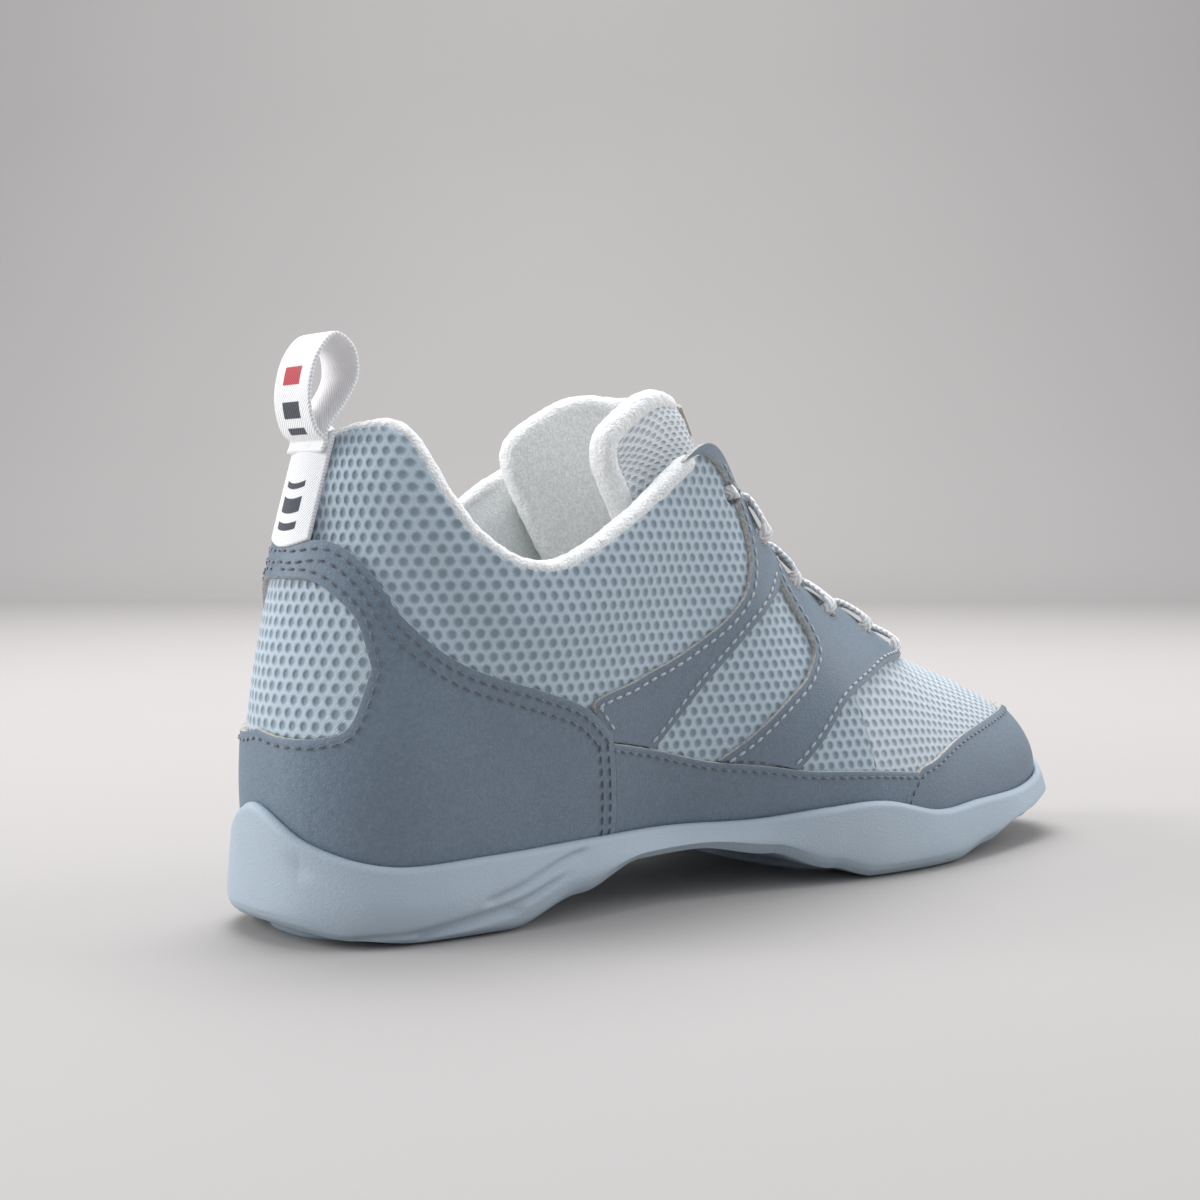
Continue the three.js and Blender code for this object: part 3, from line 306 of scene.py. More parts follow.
class Look:
    """A material being made. Numbers that are the same all over sit on the shader's sockets."""

    def __init__(self, name, colour, roughness, **constants):
        self.material = bpy.data.materials.new(name)
        self.material.use_nodes = True
        self.tree = self.material.node_tree
        self.shader = self.tree.nodes["Principled BSDF"]
        self.shader.inputs["Base Color"].default_value = (*colour, 1)
        self.shader.inputs["Roughness"].default_value = roughness
        for key, value in constants.items():
            self.shader.inputs[key.replace("_", " ")].default_value = value
        self.material.diffuse_color = (*colour, 1)

    def node(self, kind, settings=None, values=None, out=0):
        made = self.tree.nodes.new(kind)
        for key, value in (settings or {}).items():
            setattr(made, key, value)
        for key, value in (values or {}).items():
            self.feed(made.inputs[key], value)
        return Signal(self, made.outputs[out])

    def feed(self, socket, value):
        if isinstance(value, Signal):
            self.tree.links.new(value.socket, socket)
        elif isinstance(value, tuple) and len(value) == 3 and socket.type == "RGBA":
            socket.default_value = (*value, 1)
        else:
            socket.default_value = value

    def place(self):
        return self.node("ShaderNodeTexCoord", out="Object")

    def flat(self):
        """The piece's own flat pattern, in millimetres along and across it."""
        uv = self.node("ShaderNodeUVMap", {"uv_map": "flat"})
        x = self.node("ShaderNodeSeparateXYZ", values={0: uv}, out="X")
        return uv, x, Signal(self, x.socket.node.outputs["Y"])

    def noise(self, vector, scale, detail=3.0, roughness=0.55):
        values = {"Vector": vector, "Scale": scale, "Detail": detail, "Roughness": roughness}
        return self.node("ShaderNodeTexNoise", values=values)

    def cells(self, vector, scale, feature="F1"):
        values = {"Vector": vector, "Scale": scale}
        return self.node("ShaderNodeTexVoronoi", {"feature": feature}, values, "Distance")

    def ease(self, value, low, high, to_low=0.0, to_high=1.0):
        values = {0: value, 1: low, 2: high, 3: to_low, 4: to_high}
        return self.node("ShaderNodeMapRange", {"interpolation_type": "SMOOTHSTEP"}, values)

    def mix(self, factor, a, b):
        values = {0: factor, 6: a, 7: b}
        return self.node("ShaderNodeMix", {"data_type": "RGBA"}, values, 2)

    def finish(self, colour=None, roughness=None, height=None, distance=0.0003, strength=1.0):
        if colour is not None:
            self.feed(self.shader.inputs["Base Color"], colour)
        if roughness is not None:
            self.feed(self.shader.inputs["Roughness"], roughness)
        if height is not None:
            values = {"Height": height, "Distance": distance, "Strength": strength}
            self.feed(self.shader.inputs["Normal"], self.node("ShaderNodeBump", values=values))
        return self.material


def leather(name, dark, light):
    look = Look(name, light, 0.5, Specular_IOR_Level=0.42)
    place = look.place()
    cloud = look.noise(place, 38, 4)
    speckle = look.noise(place, 900, 2)
    pores = look.cells(place, 2300)
    creases = look.cells(place, 1150, "DISTANCE_TO_EDGE")
    tone = look.ease(cloud * 0.35 + speckle * 0.65, 0.3, 0.7)
    colour = look.mix(tone, dark, light)
    # the crease lines are darkened: painted shade in their grooves
    colour = look.mix(look.ease(creases, 0.0, 0.12, 0.16, 0.0), colour, tuple(0.6 * c for c in dark))
    height = look.ease(creases, 0.0, 0.3) * 0.5 + pores * 0.4 + speckle * 0.3
    return look.finish(colour, 0.4 + 0.2 * speckle, height, 0.0001, 0.7)


def cut_edge():
    look = Look("cut_edge", (0.5, 0.47, 0.42), 0.85)
    fibre = look.noise(look.place(), 1400, 3)
    colour = look.mix(look.ease(fibre, 0.35, 0.65), (0.36, 0.35, 0.33), (0.6, 0.57, 0.51))
    return look.finish(colour, None, fibre, 0.0002, 0.6)


def hole_mesh(name, pitch, yarn, shade, hole=0.3, soft=0.1):
    """Spacer mesh: round holes in rows, each row half a hole along from the last. The holes are coloured
    with painted shade, darker in their middles.
    """
    look = Look(name, yarn, 0.82, Sheen_Weight=0.35, Sheen_Roughness=0.5)
    uv, x, y = look.flat()
    wobble = look.noise(uv, 0.35, 2) - 0.5
    rows = pitch * math.sqrt(3)
    near = []
    for shift in (0.0, 0.5):
        a = (x / pitch + shift + wobble * 0.12).math("FRACT") - 0.5
        b = ((y / rows + shift).math("FRACT") - 0.5) * (rows / pitch)
        near.append((a * a + b * b) ** 0.5)
    distance = near[0].math("MINIMUM", near[1])
    open_hole = look.ease(distance, hole - soft, hole + soft, 1.0, 0.0)
    knit = look.node("ShaderNodeTexWave", {"bands_direction": "DIAGONAL"},
                     {"Vector": uv, "Scale": 0.85, "Distortion": 2.5, "Detail": 2.0}, 1)
    fuzz = look.noise(uv, 2.2, 4, 0.7)
    yarn_tone = look.mix(look.ease(fuzz, 0.3, 0.7), tuple(c * 0.88 for c in yarn), yarn)
    # the holes get painted shade, darkest in the middle of each hole
    painted_hole_shade = look.mix(look.ease(distance, 0.0, hole), tuple(c * 0.86 for c in shade), shade)
    colour = look.mix(open_hole, yarn_tone, painted_hole_shade)
    height = (1 - open_hole) * 1.0 + knit * 0.12 * (1 - open_hole) + fuzz * 0.15
    return look.finish(colour, None, height, 0.0007, 0.9)


def fleece(name, colour, scale=900.0, depth=0.0006):
    look = Look(name, colour, 0.95, Sheen_Weight=0.6, Sheen_Roughness=0.6)
    place = look.place()
    loops = look.cells(place, scale)
    tufts = look.noise(place, scale * 0.45, 4, 0.65)
    # darker between the loops: painted shade in the pile's hollows; the tufts add a random tone
    tone = look.ease(loops * 0.6 + tufts * 0.5, 0.25, 0.75)
    colour = look.mix(tone, colour, tuple(0.82 * c for c in colour))
    return look.finish(colour, None, (1 - loops) * 0.8 + tufts * 0.9, depth, 0.8)


def foam_plastic(name, colour, dark):
    look = Look(name, colour, 0.5, Specular_IOR_Level=0.4)
    place = look.place()
    cloud = look.noise(place, 22, 3)
    fine = look.noise(place, 2600, 2)
    cells = look.cells(place, 1900)
    tone = look.mix(look.ease(cloud, 0.35, 0.7), dark, colour)
    return look.finish(tone, 0.46 + 0.18 * fine, fine * 0.5 + cells * 0.6, 0.00016, 0.6)


def braid(name, colour, pitch, width):
    """Flat braid: two rows of slanted plaits that meet along the middle."""
    look = Look(name, colour, 0.8, Sheen_Weight=0.3)
    uv, x, y = look.flat()
    side = (y - width / 2).math("ABSOLUTE")
    slant = ((x + side * 0.8) / pitch).math("FRACT")
    plait = (slant * math.pi).math("SINE")
    thread = ((x * 3.0 - side * 2.0) / pitch).math("FRACT")
    fuzz = look.noise(uv, 3.0, 3)
    # darker between the plaits: painted shade in the grooves; the fuzz adds a random tone
    shade = tuple(0.85 * c for c in colour)
    tint = look.mix(look.ease(plait * 0.8 + fuzz * 0.3, 0.2, 0.75), shade, colour)
    return look.finish(tint, None, plait + 0.2 * thread + fuzz * 0.3, 0.00045, 0.8)


def twill(name, colour, marks=False):
    """Woven tape, with plain bars across it where marks are asked for."""
    look = Look(name, colour, 0.72, Sheen_Weight=0.25)
    uv, x, y = look.flat()
    rib = (((x + y) / 0.9).math("FRACT") * math.pi).math("SINE")
    fuzz = look.noise(uv, 2.5, 3)
    # darker in the grooves between the ribs: painted shade; the fuzz adds a random tone
    tint = look.mix(look.ease(rib + fuzz * 0.4, 0.2, 0.95), tuple(0.78 * c for c in colour), colour)
    if marks:
        inside = look.ease((y - WEBBING_WIDTH / 2).math("ABSOLUTE"), 3.3, 3.5, 1.0, 0.0)
        for low, high, ink in MARKS:
            start = look.ease(x, low, low + 0.25)
            stop = look.ease(x, high, high + 0.25, 1.0, 0.0)
            tint = look.mix(start * stop * inside, tint, ink)
    return look.finish(tint, None, rib + fuzz * 0.5, 0.0002, 0.7)


INK, RED = (0.035, 0.04, 0.06), (0.5, 0.03, 0.05)
LEG_START = 140
MARKS = [(5, 6.5, INK), (8.5, 12, INK), (15.5, 19.5, RED),
         (144, 146, INK), (148.5, 152.5, INK), (155, 156.6, INK)]
OVERLAY_SKIN = leather("overlay_skin", (0.148, 0.196, 0.245), (0.188, 0.241, 0.3))
CUT_EDGE = cut_edge()
MESH = hole_mesh("mesh_holes", 3.1, (0.53, 0.635, 0.715), (0.25, 0.335, 0.4), 0.28, 0.16)
# the vamp gets a lighter copy of the quarters' mesh: painted light, for the light that falls on the top of
# the shoe
VAMP_MESH_PAINTED_LIGHTER = hole_mesh("vamp_mesh_holes_painted_lighter", 3.1, (0.66, 0.74, 0.81), (0.34, 0.42, 0.49), 0.28, 0.16)
TONGUE_MESH = hole_mesh("tongue_mesh_holes", 2.3, (0.84, 0.88, 0.91), (0.58, 0.64, 0.68), 0.25, 0.16)
TERRY = fleece("terry", (0.97, 0.97, 0.96), 1500.0, 0.0004)
LINING_CLOTH = fleece("lining_cloth", (0.95, 0.97, 0.965), 1800.0, 0.0003)
SOLE = foam_plastic("sole_foam", (0.44, 0.515, 0.58), (0.4, 0.475, 0.54))
RUBBER = foam_plastic("tread_rubber", (0.36, 0.44, 0.5), (0.3, 0.38, 0.44))
LACE = braid("lace_braid", (0.97, 0.98, 0.99), 1.6, LACE_WIDTH)
TAPE = twill("loop_tape", (0.95, 0.95, 0.96), True)
LABEL = twill("label_tape", (0.55, 0.5, 0.43))
DARK_THREAD = fleece("dark_thread", (0.1, 0.125, 0.16), 3000.0, 0.00005)
PALE_THREAD = fleece("pale_thread", (0.5, 0.53, 0.56), 3000.0, 0.00005)
SOCK_CLOTH = hole_mesh("sock_cloth", 1.8, (0.75, 0.79, 0.8), (0.6, 0.64, 0.66), 0.22)
HIDDEN_BOARD = fleece("fibre_board", (0.45, 0.42, 0.36), 500.0, 0.0001)
HIDDEN_FOAM = fleece("open_foam", (0.7, 0.68, 0.6), 700.0, 0.0003)


# ---- making pieces ----
def sheet_of(across, up, place):
    """A bmesh sheet whose points are put by place(s, t), each from 0 to 1; place gives the
    points and their flat pattern, both in millimetres."""
    bm = bmesh.new()
    bmesh.ops.create_grid(bm, x_segments=across, y_segments=up, size=1)
    bm.verts.index_update()
    share = np.array([v.co[:2] for v in bm.verts]) / 2 + 0.5
    points, flat = place(share[:, 0], share[:, 1])
    for vert, point in zip(bm.verts, metres(points)):
        vert.co = point
    uv = bm.loops.layers.uv.new("flat")
    for face in bm.faces:
        for loop in face.loops:
            loop[uv].uv = flat[loop.vert.index]
    return bm


def weld(bm):
    bmesh.ops.remove_doubles(bm, verts=bm.verts, dist=1e-5)
    bmesh.ops.dissolve_degenerate(bm, dist=1e-6, edges=bm.edges)
    return bm


def calm(bm, tip, reach=6.5, join=0.8, passes=14):
    """Joins and smooths a sheet round the point where its two sides run together."""
    for _ in range(2):
        near = [vert for vert in bm.verts if (vert.co - tip).length < reach / 1000]
        bmesh.ops.remove_doubles(bm, verts=near, dist=join / 1000)
    for _ in range(passes):
        near = [vert for vert in bm.verts if (vert.co - tip).length < reach / 1000]
        bmesh.ops.smooth_vert(bm, verts=near, factor=0.5, use_axis_x=True, use_axis_y=True, use_axis_z=True)
    return bm


def face_out(bm, out):
    """Turns every face over if the sheet faces the wrong way."""
    bm.normal_update()
    score = sum(f.normal.dot(Vector(out(f.calc_center_median()))) for f in list(bm.faces)[::7])
    if score < 0:
        bmesh.ops.reverse_faces(bm, faces=bm.faces)
    return bm


def faces(x, y, z):
    """A way out that is the same for the whole sheet."""
    return lambda centre: Vector((x, y, z))


def punch(bm):
    """Opens the eyelets: faces inside a hole go, and its rim is moved onto a true circle."""
    holes = [(Vector(metres(c)), Vector(n)) for c, n in HOLES]
    radius = EYELET_RADIUS / 1000

    def off_axis(point, hole):
        arm = point - hole[0]
        return arm - hole[1] * arm.dot(hole[1]), abs(arm.dot(hole[1]))

    inside = []
    for face in bm.faces:
        centre = face.calc_center_median()
        for hole in holes:
            arm, depth = off_axis(centre, hole)
            if arm.length < radius and depth < 0.012:
                inside.append(face)
    bmesh.ops.delete(bm, geom=list(set(inside)), context="FACES")
    for vert in bm.verts:
        for hole in holes:
            arm, depth = off_axis(vert.co, hole)
            if vert.is_boundary and 0 < arm.length < radius * 1.5 and depth < 0.012:
                vert.co += arm.normalized() * radius - arm
    return bm


def piece(name, bm, looks, replaces=(), body="shoe"):
    mesh = bpy.data.meshes.new(name)
    bm.to_mesh(mesh)
    bm.free()
    mesh.shade_smooth()
    for look in looks:
        mesh.materials.append(look)
    made = bpy.data.objects.new(name, mesh)
    bpy.context.scene.collection.objects.link(made)
    if replaces:
        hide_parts(*replaces)
    if body:
        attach(made, body)
    return made


def thicken(made, thickness, rim_look=0, edge=0.3, segments=2):
    """Gives a sheet its thickness inwards, and rounds its edges."""
    wall = made.modifiers.new("thickness", "SOLIDIFY")
    wall.thickness = thickness / 1000
    wall.offset = -1
    wall.material_offset_rim = rim_look
    if edge:
        round_off = made.modifiers.new("edges", "BEVEL")
        round_off.width = edge / 1000
        round_off.segments = segments
        round_off.limit_method = "ANGLE"
        round_off.angle_limit = math.radians(50)
    return made


def around(u, v):
    """The upper's flat pattern: millimetres round the shoe and up it."""
    x, y, z = last(u, v).T
    turned = HEEL_BEND_X - HEEL_BEND * np.arctan2(HEEL_BEND_X - x, np.abs(y))
    return np.stack([np.where(x < HEEL_BEND_X, turned, x), z * 1.04], 1)


def ruled(a, b, depth=0.0):
    """Places a sheet between two lines on the upper."""
    def place(s, t):
        start, end = along(a, s), along(b, s)
        uv = start + (end - start) * t[:, None]
        return skin(uv[:, 0], uv[:, 1], depth), around(uv[:, 0], uv[:, 1])
    return place


def outside(centre):
    """Away from the middle of the shoe, for turning sheets the right way out."""
    x = centre.x * 1000 - ORIGIN[0]
    middle = Vector((min(max(x, 35), 200), 0, 28))
    return Vector((x, centre.y * 1000, centre.z * 1000)) - middle


# ---- overlays ----
def overlay(name, a, b, across, up, lift, replaces, holes=False):
    bm = face_out(sheet_of(across, up, ruled(a, b, -lift)), outside)
    if holes:
        punch(bm)
    made = piece(name, bm, [OVERLAY_SKIN, CUT_EDGE], replaces)
    return thicken(made, OVERLAY + lift, 1, SKIN_EDGE)


def heel_ring():
    """Two lines round the heel overlay: its outer edge and the edge of its window."""
    seam, front = line(HEEL_SEAM, 41), line(HEEL_FRONT, 13)
    floor = np.stack([np.linspace(4.35, 0, 29), np.full(29, 0.0)], 1)
    half = np.vstack([seam, front[1:], floor[1:]])
    window_top, window_low = line(WINDOW_TOP, 41), line(WINDOW_LOW, 41)[::-1]
    # the window's upper edge is used up by the middle of the seam, which dips beyond it
    upper = along(window_top, np.minimum(np.linspace(0, 2.2, 41), 1))
    inner = np.vstack([upper, along(window_low, np.linspace(0, 1, len(half) - 40))[1:]])
    flip = np.array([-1, 1])
    return np.vstack([half, (half * flip)[::-1][1:]]), np.vstack([inner, (inner * flip)[::-1][1:]])


heel_outer, heel_inner = heel_ring()
heel = weld(sheet_of(300, 26, ruled(heel_inner, heel_outer, -HEEL_LIFT)))
heel_piece = piece("heel_overlay_skin", face_out(heel, outside), [OVERLAY_SKIN, CUT_EDGE],
                   ["heel_overlay"])
thicken(heel_piece, OVERLAY + HEEL_LIFT, 1, SKIN_EDGE)

toe_half = line(TOE_SEAM, 61)
toe_top = np.vstack([toe_half, other_side(toe_half)[::-1][1:]])
toe_low = np.stack([toe_top[:, 0], np.zeros(len(toe_top))], 1)
overlay("toe_cap_skin", toe_low, toe_top, 200, 30, 0.35, ["toe_cap_overlay"])
for side, turn in SIDES.items():
    top = line(FOXING_TOP, 61)
    low = np.stack([np.linspace(FOXING_TOP[0][0], TOE_SEAM[0][0], 61), np.zeros(61)], 1)
    overlay(f"foxing_{side}_skin", turn(low), turn(top), 140, 18, 0.2, [f"foxing_{side}"])
    overlay(f"rear_strap_{side}_skin", turn(line(REAR_STRAP_BACK)), turn(line(REAR_STRAP_FRONT)),
            150, 26, 0.0, [f"rear_strap_{side}"], True)
    overlay(f"front_strap_{side}_skin", turn(line(FRONT_STRAP_BACK)), turn(line(FRONT_STRAP_FRONT)),
            130, 44, 0.1, [f"front_strap_{side}"], True)


# ---- mesh panels and linings ----
# the lower edge of the mesh that shows under the collar, from the heel forwards
COLLAR_SEAM = np.array([[0, 0.75], [1.1, 0.71], [1.65, 0.66], [2, 0.6], [3.6, 0.56],
                        [4.75, 0.53], [5.4, 0.54], [5.9, 0.6], [6.3, 0.8]])


def puffed(u, v):
    """How far the mesh stands out over the collar's foam."""
    below = (1 - v) * np.linalg.norm(last(u, 1) - last(u, 0.5), axis=1) * 2
    pad = np.exp(-(((below - 14) / 9) ** 2)) * (1 - smooth(5.2, 6.0, from_heel(u)))
    seam = np.interp(from_heel(u), COLLAR_SEAM[:, 0], COLLAR_SEAM[:, 1])
    return 1.2 * pad * smooth(seam + 0.015, seam + 0.12, v)


def panel(from_u, to_u, depth):
    def place(s, t):
        u = from_u + (to_u - from_u) * s
        v = t * layer_top(u)
        return skin(u, v, depth(u, v)), around(u, v)
    return place


def vamp_flat(u, v):
    points = last(u, v)
    angle = np.arctan2(points[:, 1] + 3, np.maximum(points[:, 2] - 20, 1))
    return np.stack([points[:, 0], angle * 36], 1)


def mesh_depth(u, v):
    return OVERLAY + 0.1 - puffed(u, v)


def vamp_place(s, t):
    u = PANEL_END + (RING - 2 * PANEL_END) * s
    v = t * layer_top(u)
    return skin(u, v, OVERLAY + 0.1), vamp_flat(u, v)


SPANS = {"medial": (0, PANEL_END), "lateral": (RING - PANEL_END, RING)}
for side, (start, end) in SPANS.items():
    bm = punch(face_out(sheet_of(300, 90, panel(start, end, mesh_depth)), outside))
    made = piece(f"quarter_mesh_{side}_panel", bm, [MESH], [f"quarter_mesh_{side}"])
    thicken(made, TEXTILE, 0, 0)
toe_tip = Vector(metres(last(TOE, 1.0))[0])
bm = punch(calm(face_out(sheet_of(260, 70, vamp_place), outside), toe_tip))
thicken(piece("vamp_mesh_panel", bm, [VAMP_MESH_PAINTED_LIGHTER], ["vamp_mesh"]), TEXTILE, 0, 0)

window_top, window_low = (np.vstack([(half * [-1, 1])[::-1], half[1:]])
                          for half in (line(WINDOW_TOP, 41), line(WINDOW_LOW, 41)))


def window_place(s, t):
    points, _ = ruled(window_low, window_top, OVERLAY - 0.35)(s, t)
    turned = HEEL_BEND * np.arctan2(points[:, 1], HEEL_BEND_X - points[:, 0])
    return points, np.stack([turned, points[:, 2]], 1)


bm = weld(sheet_of(120, 60, window_place))
made = piece("heel_window_panel", face_out(bm, outside), [MESH], ["heel_window_mesh"])
thicken(made, 1.2, 0, 0)


def tufted(points, size, height, normals):
    """Points moved in and out along their normals, as a looped pile is."""
    wobble = np.array([noise.noise(Vector(p) / size) for p in points])
    fine = np.array([noise.noise(Vector(p) / (size * 0.4) + Vector((9, 4, 2))) for p in points])
    return points + normals * ((wobble + 0.5 * fine) * height)[:, None]


def lining_place(start, end):
    def place(s, t):
        u = start + (end - start) * s
        v = t * layer_top(u)
        roll_over = smooth(0.88, 1.0, t) * (1 - smooth(5.6, 6.2, from_heel(u)))
        depth = inner_depth(u, v) - 1.6 * roll_over
        points = skin(u, v, depth)
        return tufted(points, 1.7, 0.1, facing(u, v)), around(u, v)
    return place


def inside(centre):
    return -outside(centre)


for name, start, end in (("quarter_lining_medial", *SPANS["medial"]),
                         ("quarter_lining_lateral", *SPANS["lateral"]),
                         ("vamp_lining", PANEL_END, RING - PANEL_END)):
    bm = punch(face_out(sheet_of(220, 90, lining_place(start, end)), inside))
    thicken(piece(f"{name}_cloth", bm, [LINING_CLOTH], [name]), LINING * 0.8, 0, 0)


# ---- rolls, laces and tapes: a shape swept along points ----
def sweep(points, wide, half_width, half_thickness, sides=16, power=1.0, taper=0.0, pile=0.0):
    """A closed bar along points. wide is the direction of its width at each point. power below
    1 squares its section, taper rounds its ends, and pile roughens it, all in millimetres."""
    points = np.asarray(points, float)
    run = travelled(points)
    total = run[-1]
    direction = unit(np.gradient(points, axis=0))
    thin = unit(np.cross(direction, wide))
    side = unit(np.cross(thin, direction))

    def place(s, t):
        at = s * (len(points) - 1)
        index = np.round(at).astype(int)
        angle = t * 2 * np.pi
        c, d = np.cos(angle), np.sin(angle)
        c, d = np.sign(c) * np.abs(c) ** power, np.sign(d) * np.abs(d) ** power
        end = np.minimum(run[index], total - run[index])
        size = np.sqrt(np.clip(1 - (1 - np.clip(end / taper, 0, 1)) ** 2, 0.0, 1)) if taper else 1 + 0 * s
        arm = side[index] * (c * half_width * size)[:, None]
        arm = arm + thin[index] * (d * half_thickness * size)[:, None]
        put = points[index] + arm
        if pile:
            put = tufted(put, 1.6, pile, unit(arm + 1e-9))
        flat = np.stack([run[index], (c * 0.5 + 0.5) * 2 * half_width], 1)
        return put, flat

    bm = sheet_of(len(points) - 1, sides, place)
    if not taper:
        weld(bm)
        bmesh.ops.holes_fill(bm, edges=[e for e in bm.edges if e.is_boundary], sides=0)
    weld(bm)
    bmesh.ops.recalc_face_normals(bm, faces=bm.faces)
    return bm


def eased(points, spacing):
    """A smooth line of points at about that spacing."""
    points = np.asarray(points, float)
    fine = line(points, 24 * (len(points) - 1) + 1)
    run = travelled(fine[:, :3])
    count = max(int(run[-1] / spacing), 2)
    at = np.linspace(0, run[-1], count + 1)
    return np.stack([np.interp(at, run, fine[:, n]) for n in range(fine.shape[1])], 1)


def collar_roll():
    end = THROAT_TOP - 0.2
    u = np.linspace(-end, end, 500)
    middle = inner_depth(u, 1.0 + 0 * u) / 2
    v = below_top(u, ROLL)
    points = skin(u, v, middle - smooth(5.2, 5.9, np.abs(u)) * 1.0)
    up = np.tile([0.0, 0.0, 1.0], (len(u), 1))
    return sweep(points, up, ROLL * 1.02, ROLL * 1.3, 28, 0.95, 4.0, 0.2)


collar = piece("collar_roll", collar_roll(), [TERRY], ["collar_binding"])

# ---- stitches ----
def stitched(bm, uv_line, inset, depth, spacing=2.9, length=2.1, radius=0.36, skip=1.2):
    """Stitches along a line on the upper, inset to its left."""
    fine = along(uv_line, np.linspace(0, 1, 400))
    points, normals = skin(fine[:, 0], fine[:, 1], depth), facing(fine[:, 0], fine[:, 1])
    direction = unit(np.gradient(points, axis=0))
    points = points + np.cross(normals, direction) * inset
    run = travelled(points)
    for at in np.arange(skip, run[-1] - skip, spacing):
        here, n, d = (np.array([np.interp(at, run, lines[:, k]) for k in range(3)])
                      for lines in (points, normals, direction))
        n, d = unit(n), unit(d)
        side = np.cross(n, d)
        turn = np.eye(4)
        turn[:3, 0], turn[:3, 1], turn[:3, 2] = side * radius, n * radius * 0.8, d * length / 2
        turn[:3, :3] /= 1000
        turn[:3, 3] = metres(here)
        bmesh.ops.create_uvsphere(bm, u_segments=6, v_segments=4, radius=1, matrix=Matrix(turn))


def stitch_piece(name, rows, look):
    bm = bmesh.new()
    for row in rows:
        stitched(bm, *row)
    return piece(name, bm, [look])


heel_line = np.vstack([line(HEEL_SEAM, 60), line(HEEL_FRONT, 30)[1:]])
window = np.vstack([line(WINDOW_TOP, 40), line(WINDOW_LOW, 40)[::-1][1:]])
window = np.vstack([window, (window * [-1, 1])[::-1][1:]])
dark_rows, pale_rows = [], []
for side, turn in SIDES.items():
    s = -1 if side == "medial" else 1
    dark_rows += [(turn(heel_line), s * 1.9, -0.62), (turn(heel_line), s * 4.4, -0.62)]
    pale_rows += [
        (turn(line(REAR_STRAP_BACK[1:])), s * -1.7, -0.15),
        (turn(line(REAR_STRAP_FRONT[2:])), s * 1.7, -0.15),
        (turn(line(FRONT_STRAP_BACK)), s * -1.7, -0.25),
        (turn(line(FRONT_STRAP_FRONT)), s * 1.7, -0.25),
    ]
    dark_rows += [(turn(line(FOXING_TOP)), s * 1.6, -0.35), (turn(toe_half), s * 1.7, -0.5)]
dark_rows.append((window, 1.8, -0.62))
stitch_piece("dark_stitches", dark_rows, DARK_THREAD)
stitch_piece("pale_stitches", pale_rows, PALE_THREAD)

# ---- the sole ----
UNDERSIDE = [[-0.02, 4.5], [0.03, 1.6], [0.08, 0.6], [0.17, 0.6], [0.25, 5.7], [0.33, 11], [0.4, 11.4],
             [0.48, 8.6], [0.55, 3.6], [0.6, 0.6], [0.73, 0.6], [0.8, 3], [0.89, 7], [0.96, 11], [1.03, 14]]
SIDE_HEIGHT, GROOVE_WIDTH, GROOVE_DEPTH = 22, 1.1, 1.1
SIDE_GROOVES = [  # along the shoe, share of the side's height: start and end
    [(10, 0.0), (66, 0.5)], [(40, 0.4), (72, 0.85)], [(24, 0.05), (52, 0.3)],
]


def under_at(x):
    share = (x - 7) / 247
    knots = np.array(UNDERSIDE)
    n = np.clip(np.searchsorted(knots[:, 0], share, side="right"), 1, len(knots) - 1)
    a, b = knots[n - 1], knots[n]
    t = np.clip((share - a[:, 0]) / (b[:, 0] - a[:, 0]), 0, 1)
    return a[:, 1] + (b[:, 1] - a[:, 1]) * t * t * (3 - 2 * t)


def halved(low, high, count, passes, below):
    """Closes in on where below stops being true, for each of count values."""
    low, high = np.full(count, low), np.full(count, high)
    for _ in range(passes):
        middle = (low + high) / 2
        under = below(middle)
        low, high = np.where(under, middle, low), np.where(under, high, middle)
    return low, high


def rim_point(u):
    rim = station(u)[1][:, 3]
    return last(u, halved(0.0, 0.6, len(u), 24, lambda v: last(u, v)[:, 2] < rim)[0])


